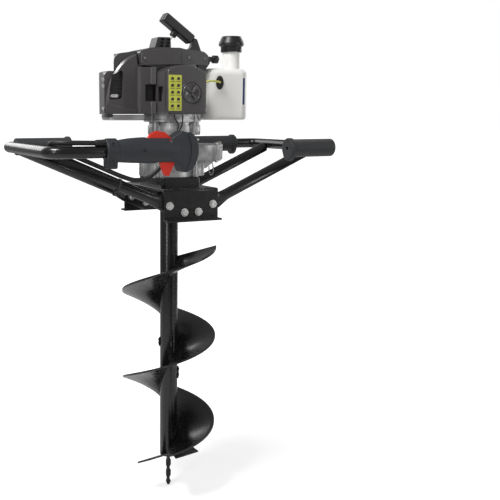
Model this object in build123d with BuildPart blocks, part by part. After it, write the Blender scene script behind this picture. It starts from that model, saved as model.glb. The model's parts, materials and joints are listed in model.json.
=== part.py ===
from build123d import *
from math import atan2, cos, degrees, pi, radians, sin, tan
import os

# Petrol earth auger with a four-grip frame.
# The origin is the tip of the pilot drill, on the drill's own axis. +Z is up, +X is to
# the right along the bracket's two walls, and -Y is the side of the throttle handle.

# ---- driving dimensions, millimetres ----

# drilling bit
TUBE_R = 19
TUBE_BORE_R = 16
TUBE_BOTTOM = 73
TUBE_TOP = 652
FLIGHT_R = 100
FLIGHT_THICK = 4
FLIGHT_PITCH = 191.6
FLIGHT_TURNS = 2.25
FLIGHT_TOP = 538
FLIGHT_TOP_ANGLE = -24.6
FLIGHT_DISH = 24
FLIGHT_STEP = 15
BLADE_ANGLE = 11.4
BLADE_TIP_R = 72
BLADE_WIDE = 34
BLADE_THICK = 4
BLADE_RAKE = -27
BLADE_Z = 70
PILOT_WIDE = 11
PILOT_THICK = 6
PIN_Z = 634

# frame
BRACKET_HALF_X = 60
WALL_OUT_Y = 103
SHEET = 4
BRACKET_LOW = 605
BRACKET_TOP = 668
LIP = 18
BOLT_IN_X = 15.5
BOLT_IN_Z = 622
BRACE_PLANE_Y = 88
RAIL_R = 11
RAIL_WALL = 2
RAIL_LEFT_X = 302
RAIL_RIGHT_X = 296
RAIL_Z = 746
RAIL_Y = 150
GRIP_R = 18

# gearbox
BLOCK_TOP = 686
LOWER_TOP = 720
UPPER_TOP = 752
NECK_TOP = 764
IDLER_X = 60
STAGE1_MODULE = 1.5
STAGE2_MODULE = 2.0
PINION_TEETH = 12
IDLER_TEETH = 68
OUTPUT_TEETH = 48
RUN_FIT = 0.05
SHAFT_R = 10
IDLER_SHAFT_R = 6
INPUT_SHAFT_R = 6

# clutch and engine
CLUTCH_LOW = 772
CLUTCH_TOP = 798
CLUTCH_X = 8
CLUTCH_Y = -6
CLUTCH_R = 54
DRUM_R = 39
CRANK_R = 7.5
CRANKCASE_TOP = 900
CYLINDER_Z = 868
STARTER_LOW = 908
STARTER_TOP = 944
GUIDE_TOP = 966
PULL_LEAN = 35
BASE_BACK = -58
TANK_FRONT = -45
TANK_BACK = 45

# throttle handle
HANDLE_HALF_Y = 17
TRIGGER_PIVOT = (-66, 729)
LOCK_PIVOT = (-74, 764)

CONDUIT_R = 4.5
WIRE_R = 1.3


BRACE_SLOPE = (RAIL_Z - BOLT_IN_Z) / (RAIL_LEFT_X - BOLT_IN_X)
BRACE_ANGLE = degrees(atan2(BRACE_SLOPE, 1))
BOLT_OUT_X = 48
BOLT_OUT_Z = BOLT_IN_Z + (BOLT_OUT_X - BOLT_IN_X) * BRACE_SLOPE

os.makedirs("parts", exist_ok=True)


def save(piece, label):
    piece.label = label
    export_step(piece, f"parts/{label}.step")


# ---- drilling bit ----

with BuildPart() as auger_tube:
    with BuildSketch(Plane.XY.offset(TUBE_BOTTOM)):
        Circle(TUBE_R)
        Circle(TUBE_BORE_R, mode=Mode.SUBTRACT)
    extrude(amount=TUBE_TOP - TUBE_BOTTOM)
    # closing disc at the bottom, drilled for the pilot
    with BuildSketch(Plane.XY.offset(TUBE_BOTTOM)):
        Circle(TUBE_BORE_R)
    extrude(amount=6)
    with Locations((0, 0, PIN_Z)):
        Cylinder(4, 2 * TUBE_R + 4, rotation=(90, 0, 0), mode=Mode.SUBTRACT)
    with Locations((0, 0, TUBE_BOTTOM)):
        Box(PILOT_WIDE + 0.1, PILOT_WIDE + 0.1, 20, mode=Mode.SUBTRACT)
save(auger_tube.part, "auger_tube")

FLIGHT_IN_R = TUBE_R + 0.05
# half of the sheet's thickness, measured upright, at the tube and at the rim
FLIGHT_IN_HALF = 0.95 * FLIGHT_THICK
FLIGHT_OUT_HALF = 0.55 * FLIGHT_THICK


def flight_edge(radius, lift):
    """One edge of the flight, from its low end to its top. The pressed rings lie a
    little tilted, so the pitch is uneven round each turn."""
    points = []
    for step in range(round(FLIGHT_TURNS * 360 / FLIGHT_STEP) + 1):
        below = step * FLIGHT_STEP - FLIGHT_TURNS * 360
        height = FLIGHT_TOP + FLIGHT_PITCH * below / 360
        height -= (1 + 0.024 * height) * sin(radians(below))
        angle = radians(FLIGHT_TOP_ANGLE + below)
        points.append((radius * cos(angle), radius * sin(angle), height + lift))
    return Edge.make_spline(points)


# the sheet is dished: its edge on the tube lies lower than its rim
FLIGHT_EDGES = (
    flight_edge(FLIGHT_R, FLIGHT_OUT_HALF),
    flight_edge(FLIGHT_IN_R, FLIGHT_IN_HALF - FLIGHT_DISH),
    flight_edge(FLIGHT_IN_R, -FLIGHT_IN_HALF - FLIGHT_DISH),
    flight_edge(FLIGHT_R, -FLIGHT_OUT_HALF),
)

with BuildPart() as auger_flight:
    sides = []
    for index in range(4):
        sides.append(Face.make_surface_from_curves(FLIGHT_EDGES[index - 1], FLIGHT_EDGES[index]))
    for end in (0, 1):
        corners = [edge @ end for edge in FLIGHT_EDGES]
        sides.append(Face(Wire.make_polygon(corners, close=True)))
    add(Solid(Shell(sides)))
save(auger_flight.part, "auger_flight")

with BuildPart() as cutting_blades:
    for turn in (BLADE_ANGLE, BLADE_ANGLE + 180):
        blade_plane = Plane(
            origin=(0, 0, BLADE_Z),
            x_dir=(cos(radians(turn)), sin(radians(turn)), 0),
            z_dir=(
                -sin(radians(turn)) * sin(radians(BLADE_RAKE)),
                cos(radians(turn)) * sin(radians(BLADE_RAKE)),
                cos(radians(BLADE_RAKE)),
            ),
        )
        with BuildSketch(blade_plane):
            with BuildLine():
                Polyline(
                    (9, -BLADE_WIDE / 2),
                    (BLADE_TIP_R, -BLADE_WIDE / 2),
                    (BLADE_TIP_R - 13, BLADE_WIDE / 2),
                    (9, BLADE_WIDE / 2),
                    close=True,
                )
            make_face()
        extrude(amount=BLADE_THICK)
    with Locations((0, 0, TUBE_BOTTOM)):
        Cylinder(
            TUBE_R + 0.05, 100,
            align=(Align.CENTER, Align.CENTER, Align.MIN),
            mode=Mode.SUBTRACT,
        )
save(cutting_blades.part, "cutting_blades")

PILOT_STEPS = 18
PILOT_TWIST = 30

with BuildPart() as pilot_drill:
    # twisted flat bar with a chisel tip
    for step in range(PILOT_STEPS + 1):
        height = step * TUBE_BOTTOM / PILOT_STEPS
        narrow = min(1.0, 0.45 + height / 14)
        with BuildSketch(Plane.XY.offset(height)):
            RectangleRounded(
                PILOT_WIDE * narrow, PILOT_THICK * narrow, 1.2,
                rotation=-step * PILOT_TWIST,
            )
    loft(ruled=True)
    with BuildSketch(Plane.XY.offset(TUBE_BOTTOM)):
        Rectangle(PILOT_WIDE, PILOT_WIDE)
    extrude(amount=6)
save(pilot_drill.part, "pilot_drill")

with BuildPart() as bit_pin:
    with Locations((0, 0, PIN_Z)):
        Cylinder(3.9, 48, rotation=(90, 0, 0))
    for side in (-1, 1):
        with BuildSketch(Plane.XZ.offset(side * 20)):
            with Locations((0, PIN_Z)):
                RegularPolygon(7, 6)
        extrude(amount=side * 5.5)
save(bit_pin.part, "bit_pin")


# ---- gearbox ----

def gear_outline(teeth, module, turn):
    """Closed outline of a spur gear with straight flanks and generous backlash."""
    pitch_r = module * teeth / 2
    tip_r = pitch_r + 0.8 * module
    root_r = pitch_r - 1.15 * module
    # half widths of a tooth, as lengths along the tip, pitch and root circles
    tip_half = 0.17 * pi * module / 2
    pitch_half = 0.41 * pi * module / 2
    root_half = 0.60 * pi * module / 2
    points = []
    for index in range(teeth):
        middle = radians(turn) + 2 * pi * index / teeth
        flank = (
            (root_r, -root_half / root_r),
            (pitch_r, -pitch_half / pitch_r),
            (tip_r, -tip_half / tip_r),
            (tip_r, tip_half / tip_r),
            (pitch_r, pitch_half / pitch_r),
            (root_r, root_half / root_r),
        )
        for radius, offset_angle in flank:
            angle = middle + offset_angle
            points.append((radius * cos(angle), radius * sin(angle)))
    return points


with BuildPart() as output_gear:
    with BuildSketch(Plane.XY.offset(698)):
        with BuildLine():
            Polyline(*gear_outline(OUTPUT_TEETH, STAGE2_MODULE, 0), close=True)
        make_face()
        Circle(SHAFT_R + 0.02, mode=Mode.SUBTRACT)
        with PolarLocations(29, 6):
            Circle(7, mode=Mode.SUBTRACT)
    extrude(amount=14)
save(output_gear.part, "output_gear")

with BuildPart() as output_shaft:
    with Locations((0, 0, 595)):
        Cylinder(TUBE_BORE_R - 0.1, 60, align=(Align.CENTER, Align.CENTER, Align.MIN))
    with Locations((0, 0, 655)):
        Cylinder(SHAFT_R, 65, align=(Align.CENTER, Align.CENTER, Align.MIN))
    with Locations((0, 0, PIN_Z)):
        Cylinder(4, 2 * TUBE_R, rotation=(90, 0, 0), mode=Mode.SUBTRACT)
save(output_shaft.part, "output_shaft")

with BuildPart() as idler_shaft:
    with Locations((IDLER_X, 0, 688)):
        Cylinder(IDLER_SHAFT_R, 61, align=(Align.CENTER, Align.CENTER, Align.MIN))
    with BuildSketch(Plane((IDLER_X, 0, 696))):
        with BuildLine():
            Polyline(*gear_outline(PINION_TEETH, STAGE2_MODULE, 180 / PINION_TEETH), close=True)
        make_face()
    extrude(amount=18)
save(idler_shaft.part, "idler_shaft")

with BuildPart() as idler_gear:
    with BuildSketch(Plane((IDLER_X, 0, 727))):
        with BuildLine():
            Polyline(*gear_outline(IDLER_TEETH, STAGE1_MODULE, 0), close=True)
        make_face()
        Circle(IDLER_SHAFT_R + 0.02, mode=Mode.SUBTRACT)
        with PolarLocations(29, 6):
            Circle(8, mode=Mode.SUBTRACT)
    extrude(amount=9)
save(idler_gear.part, "idler_gear")

with BuildPart() as input_shaft:
    with Locations((0, 0, 724)):
        Cylinder(INPUT_SHAFT_R, 58, align=(Align.CENTER, Align.CENTER, Align.MIN))
    with BuildSketch(Plane.XY.offset(725)):
        with BuildLine():
            Polyline(*gear_outline(PINION_TEETH, STAGE1_MODULE, 180 / PINION_TEETH), close=True)
        make_face()
    extrude(amount=13)
save(input_shaft.part, "input_shaft")

# shaft bearings: two each for the output, idler and input shafts
BEARINGS = (
    (0, 687, SHAFT_R, 24, 8),
    (IDLER_X, 688, IDLER_SHAFT_R, 12, 6),
    (IDLER_X, 743, IDLER_SHAFT_R, 13, 5),
    (0, 754, INPUT_SHAFT_R, 14, 8),
)

with BuildPart() as gearbox_bearings:
    for centre_x, low, inner, outer, high in BEARINGS:
        with BuildSketch(Plane((centre_x, 0, low))):
            Circle(outer)
            Circle(inner + RUN_FIT, mode=Mode.SUBTRACT)
        extrude(amount=high)
save(gearbox_bearings.part, "gearbox_bearings")

OUTPUT_CAVITY = STAGE2_MODULE * OUTPUT_TEETH / 2 + 3.6
IDLER_CAVITY = STAGE1_MODULE * IDLER_TEETH / 2 + 3
BOX_WALL = 4
LUG_R = 7
LOWER_LUGS = ((-46, -34), (-46, 34), (36, -46), (36, 46))
ARM_LUGS = ((118, 0), (84, -50), (84, 50))

with BuildPart() as gearbox_lower:
    with BuildSketch(Plane.XY.offset(BLOCK_TOP)):
        Circle(OUTPUT_CAVITY + BOX_WALL)
        with Locations((IDLER_X, 0)):
            Circle(20)
        with Locations(*LOWER_LUGS):
            Circle(LUG_R)
    extrude(amount=LOWER_TOP - BLOCK_TOP)
    with BuildSketch(Plane.XY.offset(LOWER_TOP)):
        Circle(OUTPUT_CAVITY)
        with Locations((IDLER_X, 0)):
            Circle(15.5)
    extrude(amount=-(LOWER_TOP - 696 + 0.5), mode=Mode.SUBTRACT)
    with Locations((0, 0, BLOCK_TOP)):
        Cylinder(24.02, 30, mode=Mode.SUBTRACT)
    with Locations((IDLER_X, 0, 688)):
        Cylinder(12.02, 20, align=(Align.CENTER, Align.CENTER, Align.MIN), mode=Mode.SUBTRACT)
    fillet(gearbox_lower.faces().sort_by(Axis.Z)[0].outer_wire().edges(), 2)
save(gearbox_lower.part, "gearbox_lower")

with BuildPart() as gearbox_upper:
    with BuildSketch(Plane.XY.offset(LOWER_TOP)):
        Circle(OUTPUT_CAVITY + BOX_WALL)
        with Locations((IDLER_X, 0)):
            Circle(IDLER_CAVITY + BOX_WALL)
        with Locations(*LOWER_LUGS, *ARM_LUGS):
            Circle(LUG_R)
    extrude(amount=UPPER_TOP - LOWER_TOP)
    fillet(gearbox_upper.faces().sort_by(Axis.Z)[-1].outer_wire().edges(), 2.5)
    # neck that carries the clutch housing
    with BuildSketch(Plane.XY.offset(UPPER_TOP)):
        Circle(36)
    extrude(amount=NECK_TOP - UPPER_TOP)
    with BuildSketch(Plane.XY.offset(NECK_TOP - 5)):
        with Locations((CLUTCH_X, CLUTCH_Y)):
            Circle(CLUTCH_R - 2)
    extrude(amount=5)
    # gear chamber, then the passages for the idler and input shafts
    with BuildSketch(Plane.XY.offset(724)):
        Circle(16)
        with Locations((IDLER_X, 0)):
            Circle(IDLER_CAVITY)
    extrude(amount=15, mode=Mode.SUBTRACT)
    with Locations((IDLER_X, 0, LOWER_TOP)):
        Cylinder(15.5, 10, mode=Mode.SUBTRACT)
        Cylinder(9, 100, align=(Align.CENTER, Align.CENTER, Align.MIN), mode=Mode.SUBTRACT)
    with Locations((IDLER_X, 0, 743)):
        Cylinder(13.02, 20, align=(Align.CENTER, Align.CENTER, Align.MIN), mode=Mode.SUBTRACT)
    with Locations((0, 0, 716)):
        Cylinder(11, 6, align=(Align.CENTER, Align.CENTER, Align.MIN), mode=Mode.SUBTRACT)
    with Locations((0, 0, 736)):
        Cylinder(9, 40, align=(Align.CENTER, Align.CENTER, Align.MIN), mode=Mode.SUBTRACT)
    with Locations((0, 0, 754)):
        Cylinder(14.02, 20, align=(Align.CENTER, Align.CENTER, Align.MIN), mode=Mode.SUBTRACT)
    # cover over the idler's upper bearing
    with Locations((IDLER_X, 0, UPPER_TOP - 3)):
        Cylinder(14, 3, align=(Align.CENTER, Align.CENTER, Align.MIN))
    # stiffening web under the arm
    with BuildSketch(Plane.XZ.offset(-4)):
        with BuildLine():
            Polyline((81, LOWER_TOP), (112, LOWER_TOP), (84, 700), (81, 700), close=True)
        make_face()
    extrude(amount=8)
save(gearbox_upper.part, "gearbox_upper")

with BuildPart() as gearbox_bolts:
    for x, y in LOWER_LUGS:
        with BuildSketch(Plane((x, y, UPPER_TOP))):
            RegularPolygon(5, 6)
        extrude(amount=4)
    for x, y in ARM_LUGS:
        with BuildSketch(Plane((x, y, UPPER_TOP))):
            RegularPolygon(5, 6)
        extrude(amount=4)
        with BuildSketch(Plane((x, y, LOWER_TOP))):
            RegularPolygon(4.5, 6)
        extrude(amount=-5)
save(gearbox_bolts.part, "gearbox_bolts")

with BuildPart() as mounting_block:
    with BuildSketch(Plane.XY.offset(BRACKET_TOP)):
        RectangleRounded(86, 118, 6)
        Circle(26, mode=Mode.SUBTRACT)
    extrude(amount=BLOCK_TOP - BRACKET_TOP)
save(mounting_block.part, "mounting_block")

# ---- frame ----

with BuildPart() as bracket:
    # hat channel: a top plate, two walls, and a lip turned outwards under each wall
    with BuildSketch(Plane.YZ.offset(-BRACKET_HALF_X)):
        with BuildLine():
            Polyline(
                (-WALL_OUT_Y - LIP, BRACKET_LOW),
                (-WALL_OUT_Y + SHEET, BRACKET_LOW),
                (-WALL_OUT_Y + SHEET, BRACKET_TOP - SHEET),
                (WALL_OUT_Y - SHEET, BRACKET_TOP - SHEET),
                (WALL_OUT_Y - SHEET, BRACKET_LOW),
                (WALL_OUT_Y + LIP, BRACKET_LOW),
                (WALL_OUT_Y + LIP, BRACKET_LOW + SHEET),
                (WALL_OUT_Y, BRACKET_LOW + SHEET),
                (WALL_OUT_Y, BRACKET_TOP),
                (-WALL_OUT_Y, BRACKET_TOP),
                (-WALL_OUT_Y, BRACKET_LOW + SHEET),
                (-WALL_OUT_Y - LIP, BRACKET_LOW + SHEET),
                close=True,
            )
        make_face()
    extrude(amount=2 * BRACKET_HALF_X)
    top_edges = bracket.edges().filter_by(Axis.X).group_by(Axis.Z)[-1]
    fillet(top_edges, SHEET)
    with Locations((0, 0, BRACKET_TOP)):
        Cylinder(24, 20, mode=Mode.SUBTRACT)
    for x, z in ((BOLT_IN_X, BOLT_IN_Z), (BOLT_OUT_X, BOLT_OUT_Z)):
        for side in (-1, 1):
            with Locations((side * x, 0, z)):
                Cylinder(4.2, 300, rotation=(90, 0, 0), mode=Mode.SUBTRACT)
save(bracket.part, "bracket")

# distance along a brace's axis, from its inner bolt
ALONG_OUT_BOLT = (BOLT_OUT_X - BOLT_IN_X) / cos(radians(BRACE_ANGLE))
ALONG_ROUND = ALONG_OUT_BOLT + 42
FLAT_THICK = 9
FLAT_HIGH = 30
FLAT_Y = WALL_OUT_Y - SHEET - FLAT_THICK / 2


def brace(side_x, side_y):
    """Tube with one end pressed flat against the bracket's wall and bolted twice."""
    lean = radians(BRACE_ANGLE)
    along = Vector(side_x * cos(lean), 0, sin(lean))
    start = Vector(side_x * BOLT_IN_X, side_y * FLAT_Y, BOLT_IN_Z)
    shift = Vector(0, side_y * (BRACE_PLANE_Y - FLAT_Y), 0)
    rail_x = RAIL_RIGHT_X if side_x > 0 else RAIL_LEFT_X
    along_rail = (rail_x - BOLT_IN_X) / cos(lean) - RAIL_R - 0.1
    with BuildPart() as body:
        with BuildSketch(Plane(start - along * 8, x_dir=(0, 1, 0), z_dir=along)):
            RectangleRounded(FLAT_THICK, FLAT_HIGH, 4)
        extrude(amount=ALONG_OUT_BOLT + 22)
        with BuildSketch(Plane(start + along * (ALONG_OUT_BOLT + 14), x_dir=(0, 1, 0), z_dir=along)):
            RectangleRounded(FLAT_THICK, FLAT_HIGH, 4)
        with BuildSketch(Plane(start + along * ALONG_ROUND + shift, x_dir=(0, 1, 0), z_dir=along)):
            Circle(RAIL_R)
        loft()
        with BuildSketch(Plane(start + along * ALONG_ROUND + shift, x_dir=(0, 1, 0), z_dir=along)):
            Circle(RAIL_R)
            Circle(RAIL_R - RAIL_WALL, mode=Mode.SUBTRACT)
        extrude(amount=along_rail - ALONG_ROUND)
        for distance in (0, ALONG_OUT_BOLT):
            with Locations(start + along * distance):
                Cylinder(4.2, 40, rotation=(90, 0, 0), mode=Mode.SUBTRACT)
        # the far end is cut to the rail's curve
        with Locations((side_x * rail_x, 0, RAIL_Z)):
            Cylinder(RAIL_R + 0.05, 320, rotation=(90, 0, 0), mode=Mode.SUBTRACT)
    return body.part


save(brace(-1, -1), "brace_front_left")
save(brace(-1, 1), "brace_rear_left")
save(brace(1, -1), "brace_front_right")
save(brace(1, 1), "brace_rear_right")

with BuildPart() as brace_bolts:
    for side_x in (-1, 1):
        for side_y in (-1, 1):
            for x, z in ((BOLT_IN_X, BOLT_IN_Z), (BOLT_OUT_X, BOLT_OUT_Z)):
                outside = Plane(
                    origin=(side_x * x, side_y * WALL_OUT_Y, z),
                    x_dir=(1, 0, 0),
                    z_dir=(0, side_y, 0),
                )
                inside = Plane(
                    origin=(side_x * x, side_y * (WALL_OUT_Y - SHEET - FLAT_THICK), z),
                    x_dir=(1, 0, 0),
                    z_dir=(0, -side_y, 0),
                )
                with BuildSketch(outside):
                    Circle(8)
                extrude(amount=1.6)
                with BuildSketch(outside.offset(1.6)):
                    RegularPolygon(6.5, 6)
                extrude(amount=5)
                with BuildSketch(outside.offset(1.6)):
                    Circle(4)
                extrude(amount=-26)
                with BuildSketch(inside):
                    RegularPolygon(6.5, 6)
                extrude(amount=6)
save(brace_bolts.part, "brace_bolts")


def rail(side_x, rear_end_x, front_end_x, corner_radii):
    """Bent handlebar: a rear arm, a side rail and a front arm, all at one height."""
    with BuildPart() as body:
        with BuildLine() as route:
            FilletPolyline(
                (rear_end_x, RAIL_Y, RAIL_Z),
                (side_x, RAIL_Y, RAIL_Z),
                (side_x, -RAIL_Y, RAIL_Z),
                (front_end_x, -RAIL_Y, RAIL_Z),
                radius=corner_radii,
            )
        with BuildSketch(Plane(route.line @ 0, z_dir=route.line % 0)):
            Circle(RAIL_R)
            Circle(RAIL_R - RAIL_WALL, mode=Mode.SUBTRACT)
        sweep(path=route.line)
    return body.part


REAR_LEFT_GRIP = (-287, -166)
REAR_RIGHT_GRIP = (240, 120)
FRONT_RIGHT_GRIP = (297, 190)
HANDLE_TUBE_END = -128

save(rail(-RAIL_LEFT_X, REAR_LEFT_GRIP[1] - 4, HANDLE_TUBE_END, [14, 26]), "handlebar_left")
save(rail(RAIL_RIGHT_X, REAR_RIGHT_GRIP[1] + 4, FRONT_RIGHT_GRIP[1] + 4, [22, 16]), "handlebar_right")


def grip(outer_x, inner_x, y, collar_at_outer):
    """Rubber sleeve, closed at its inner end, with a lobed collar at one end."""
    toward = 1 if inner_x > outer_x else -1
    long = abs(inner_x - outer_x)
    collar_x = outer_x if collar_at_outer else inner_x
    inward = toward if collar_at_outer else -toward
    with BuildPart() as body:
        with BuildSketch(Plane((outer_x, y, RAIL_Z), x_dir=(0, 1, 0), z_dir=(toward, 0, 0))):
            Circle(GRIP_R)
        extrude(amount=long)
        with BuildSketch(Plane((collar_x, y, RAIL_Z), x_dir=(0, 1, 0), z_dir=(inward, 0, 0))):
            Circle(GRIP_R + 2.5)
            with Locations((0, -8) if inward > 0 else (0, 8)):
                Circle(GRIP_R - 1)
        extrude(amount=9)
        fillet(body.edges().group_by(Axis.X)[0] + body.edges().group_by(Axis.X)[-1], 3)
        with BuildSketch(Plane((outer_x - toward, y, RAIL_Z), x_dir=(0, 1, 0), z_dir=(toward, 0, 0))):
            Circle(RAIL_R + 0.05)
        extrude(amount=long + 1 - 3, mode=Mode.SUBTRACT)
        # vent hole in the closed end
        with Locations((inner_x, y, RAIL_Z)):
            Cylinder(4, 12, rotation=(0, 90, 0), mode=Mode.SUBTRACT)
    return body.part


with BuildPart() as rubber_grips:
    add(grip(*REAR_LEFT_GRIP, RAIL_Y, False))
    add(grip(*REAR_RIGHT_GRIP, RAIL_Y, True))
    add(grip(*FRONT_RIGHT_GRIP, -RAIL_Y, False))
    # opening at the corner, where the side rail leaves the sleeve
    with BuildSketch(Plane.XZ.offset(RAIL_Y)):
        with Locations((RAIL_RIGHT_X, RAIL_Z)):
            Circle(RAIL_R + 0.4)
    extrude(amount=-40, mode=Mode.SUBTRACT)
    with Locations((RAIL_RIGHT_X - 8, -RAIL_Y + 8, RAIL_Z)):
        Box(30, 34, 2 * RAIL_R + 0.6, mode=Mode.SUBTRACT)
save(rubber_grips.part, "rubber_grips")

# ---- clutch ----

FAN_X = 4
FAN_Y = -3
FAN_CASE_R = 58
FAN_CASE_TOP = 836

with BuildPart() as isolators:
    with BuildSketch(Plane.XY.offset(NECK_TOP)):
        with Locations((CLUTCH_X, CLUTCH_Y)):
            with PolarLocations(CLUTCH_R - 10, 4, start_angle=20):
                RectangleRounded(14, 14, 2)
    extrude(amount=CLUTCH_LOW - NECK_TOP)
save(isolators.part, "rubber_isolators")

with BuildPart() as clutch_housing:
    with BuildSketch(Plane.XY.offset(CLUTCH_LOW)):
        with Locations((CLUTCH_X, CLUTCH_Y)):
            Circle(CLUTCH_R)
            with PolarLocations(CLUTCH_R - 2, 4, start_angle=20):
                Circle(9)
    extrude(amount=CLUTCH_TOP - CLUTCH_LOW)
    with BuildSketch(Plane.XY.offset(CLUTCH_TOP)):
        with Locations((CLUTCH_X, CLUTCH_Y)):
            Circle(CLUTCH_R)
            Circle(CLUTCH_R - 2.5, mode=Mode.SUBTRACT)
    extrude(amount=-7, mode=Mode.SUBTRACT)
    with Locations((0, 0, CLUTCH_LOW + 4)):
        Cylinder(41, 40, align=(Align.CENTER, Align.CENTER, Align.MIN), mode=Mode.SUBTRACT)
    with Locations((0, 0, CLUTCH_LOW)):
        Cylinder(9, 20, mode=Mode.SUBTRACT)
save(clutch_housing.part, "clutch_housing")

with BuildPart() as clutch_drum:
    with BuildSketch(Plane.XY.offset(779)):
        Circle(DRUM_R)
        Circle(INPUT_SHAFT_R + 0.02, mode=Mode.SUBTRACT)
    extrude(amount=3)
    with BuildSketch(Plane.XY.offset(782)):
        Circle(DRUM_R)
        Circle(DRUM_R - 2, mode=Mode.SUBTRACT)
    extrude(amount=14)
save(clutch_drum.part, "clutch_drum")

with BuildPart() as clutch_shoes:
    with BuildSketch(Plane.XY.offset(785)):
        Circle(35)
        Circle(15, mode=Mode.SUBTRACT)
        Rectangle(80, 6, mode=Mode.SUBTRACT)
    extrude(amount=10)
    # bolts that hold the shoes to the flywheel
    with BuildSketch(Plane.XY.offset(795)):
        with Locations((0, 25), (0, -25)):
            Circle(4)
    extrude(amount=9)
save(clutch_shoes.part, "clutch_shoes")

# ---- engine core, crankshaft upright, cylinder pointing to -X ----

FLYWHEEL_R = 48

with BuildPart() as flywheel:
    with BuildSketch(Plane.XY.offset(804)):
        Circle(FLYWHEEL_R)
        Circle(CRANK_R + 0.02, mode=Mode.SUBTRACT)
    extrude(amount=6)
    with BuildSketch(Plane.XY.offset(810)):
        Circle(15)
        Circle(CRANK_R + 0.02, mode=Mode.SUBTRACT)
    extrude(amount=16)
    # fan blades
    with BuildSketch(Plane.XY.offset(810)):
        with PolarLocations(31, 14):
            Rectangle(30, 2.5, rotation=35)
    extrude(amount=16)
save(flywheel.part, "flywheel")

with BuildPart() as fan_case:
    with BuildSketch(Plane.XY.offset(CLUTCH_TOP)):
        with Locations((FAN_X, FAN_Y)):
            Circle(FAN_CASE_R)
    extrude(amount=FAN_CASE_TOP - CLUTCH_TOP)
    with Locations((0, 0, CLUTCH_TOP + 3)):
        Cylinder(51, 32, align=(Align.CENTER, Align.CENTER, Align.MIN), mode=Mode.SUBTRACT)
    with Locations((0, 0, CLUTCH_TOP)):
        Cylinder(42, 10, mode=Mode.SUBTRACT)
    with Locations((0, 0, FAN_CASE_TOP)):
        Cylinder(10, 10, mode=Mode.SUBTRACT)
    # flat at the front, behind the air filter
    with Locations((0, BASE_BACK - 9.5, CLUTCH_TOP)):
        Box(120, 20, 100, mode=Mode.SUBTRACT)
save(fan_case.part, "fan_case")

WEB_LOW = 856
WEB_TOP = 873
CRANK_THROW = 16

with BuildPart() as crankshaft:
    with Locations((0, 0, 797)):
        Cylinder(CRANK_R, WEB_LOW - 797, align=(Align.CENTER, Align.CENTER, Align.MIN))
    with Locations((0, 0, WEB_TOP + 7)):
        Cylinder(CRANK_R, 46, align=(Align.CENTER, Align.CENTER, Align.MIN))
    for low in (WEB_LOW, WEB_TOP):
        with BuildSketch(Plane.XY.offset(low)):
            Circle(27)
            with Locations((-24, 12), (-24, -12)):
                Circle(6, mode=Mode.SUBTRACT)
        extrude(amount=7)
    with Locations((-CRANK_THROW, 0, WEB_LOW + 7)):
        Cylinder(5, WEB_TOP - WEB_LOW - 7, align=(Align.CENTER, Align.CENTER, Align.MIN))
save(crankshaft.part, "crankshaft")

CORE_HALF = 43

with BuildPart() as crankcase:
    with BuildSketch(Plane.XY.offset(FAN_CASE_TOP)):
        RectangleRounded(2 * CORE_HALF, 2 * CORE_HALF - 4, 12)
    extrude(amount=CRANKCASE_TOP - FAN_CASE_TOP)
    with Locations((0, 0, 852)):
        Cylinder(30, 32, align=(Align.CENTER, Align.CENTER, Align.MIN), mode=Mode.SUBTRACT)
    with Locations((0, 0, FAN_CASE_TOP - 1)):
        Cylinder(
            CRANK_R + RUN_FIT, 90,
            align=(Align.CENTER, Align.CENTER, Align.MIN),
            mode=Mode.SUBTRACT,
        )
    with BuildSketch(Plane.YZ.offset(-CORE_HALF - 1)):
        with Locations((0, CYLINDER_Z)):
            Circle(21)
    extrude(amount=40, mode=Mode.SUBTRACT)
save(crankcase.part, "crankcase")

CYLINDER_END = -100
FIN_COUNT = 8
FIN_STEP = 6

with BuildPart() as cylinder:
    with BuildSketch(Plane.YZ.offset(CYLINDER_END)):
        with Locations((0, CYLINDER_Z)):
            Circle(27)
    extrude(amount=-CORE_HALF - CYLINDER_END)
    for index in range(FIN_COUNT):
        with BuildSketch(Plane.YZ.offset(CYLINDER_END + 2 + index * FIN_STEP)):
            with Locations((0, CYLINDER_Z)):
                RectangleRounded(68, 63, 8)
        extrude(amount=2.5)
    with BuildSketch(Plane.YZ.offset(CYLINDER_END + 10)):
        with Locations((0, CYLINDER_Z)):
            Circle(21)
    extrude(amount=80, mode=Mode.SUBTRACT)
    with BuildSketch(Plane.YZ.offset(CYLINDER_END - 1)):
        with Locations((0, CYLINDER_Z)):
            Circle(7.02)
    extrude(amount=20, mode=Mode.SUBTRACT)
save(cylinder.part, "cylinder")

with BuildPart() as spark_plug:
    for radius, left, right in ((7, -100, -90), (10, -108, -100), (5, -124, -108), (3, -129, -124)):
        with BuildSketch(Plane.YZ.offset(left)):
            with Locations((0, CYLINDER_Z)):
                Circle(radius)
        extrude(amount=right - left)
save(spark_plug.part, "spark_plug")

with BuildPart() as plug_boot:
    with BuildSketch(Plane.YZ.offset(-140)):
        with Locations((0, CYLINDER_Z)):
            Circle(9)
    extrude(amount=28)
    with BuildSketch(Plane.YZ.offset(-130)):
        with Locations((0, CYLINDER_Z)):
            Circle(5.02)
    extrude(amount=30, mode=Mode.SUBTRACT)
    fillet(plug_boot.edges().group_by(Axis.X)[0], 3)
save(plug_boot.part, "plug_boot")

MUFFLER_X = -68
MUFFLER_Y = 73

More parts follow.
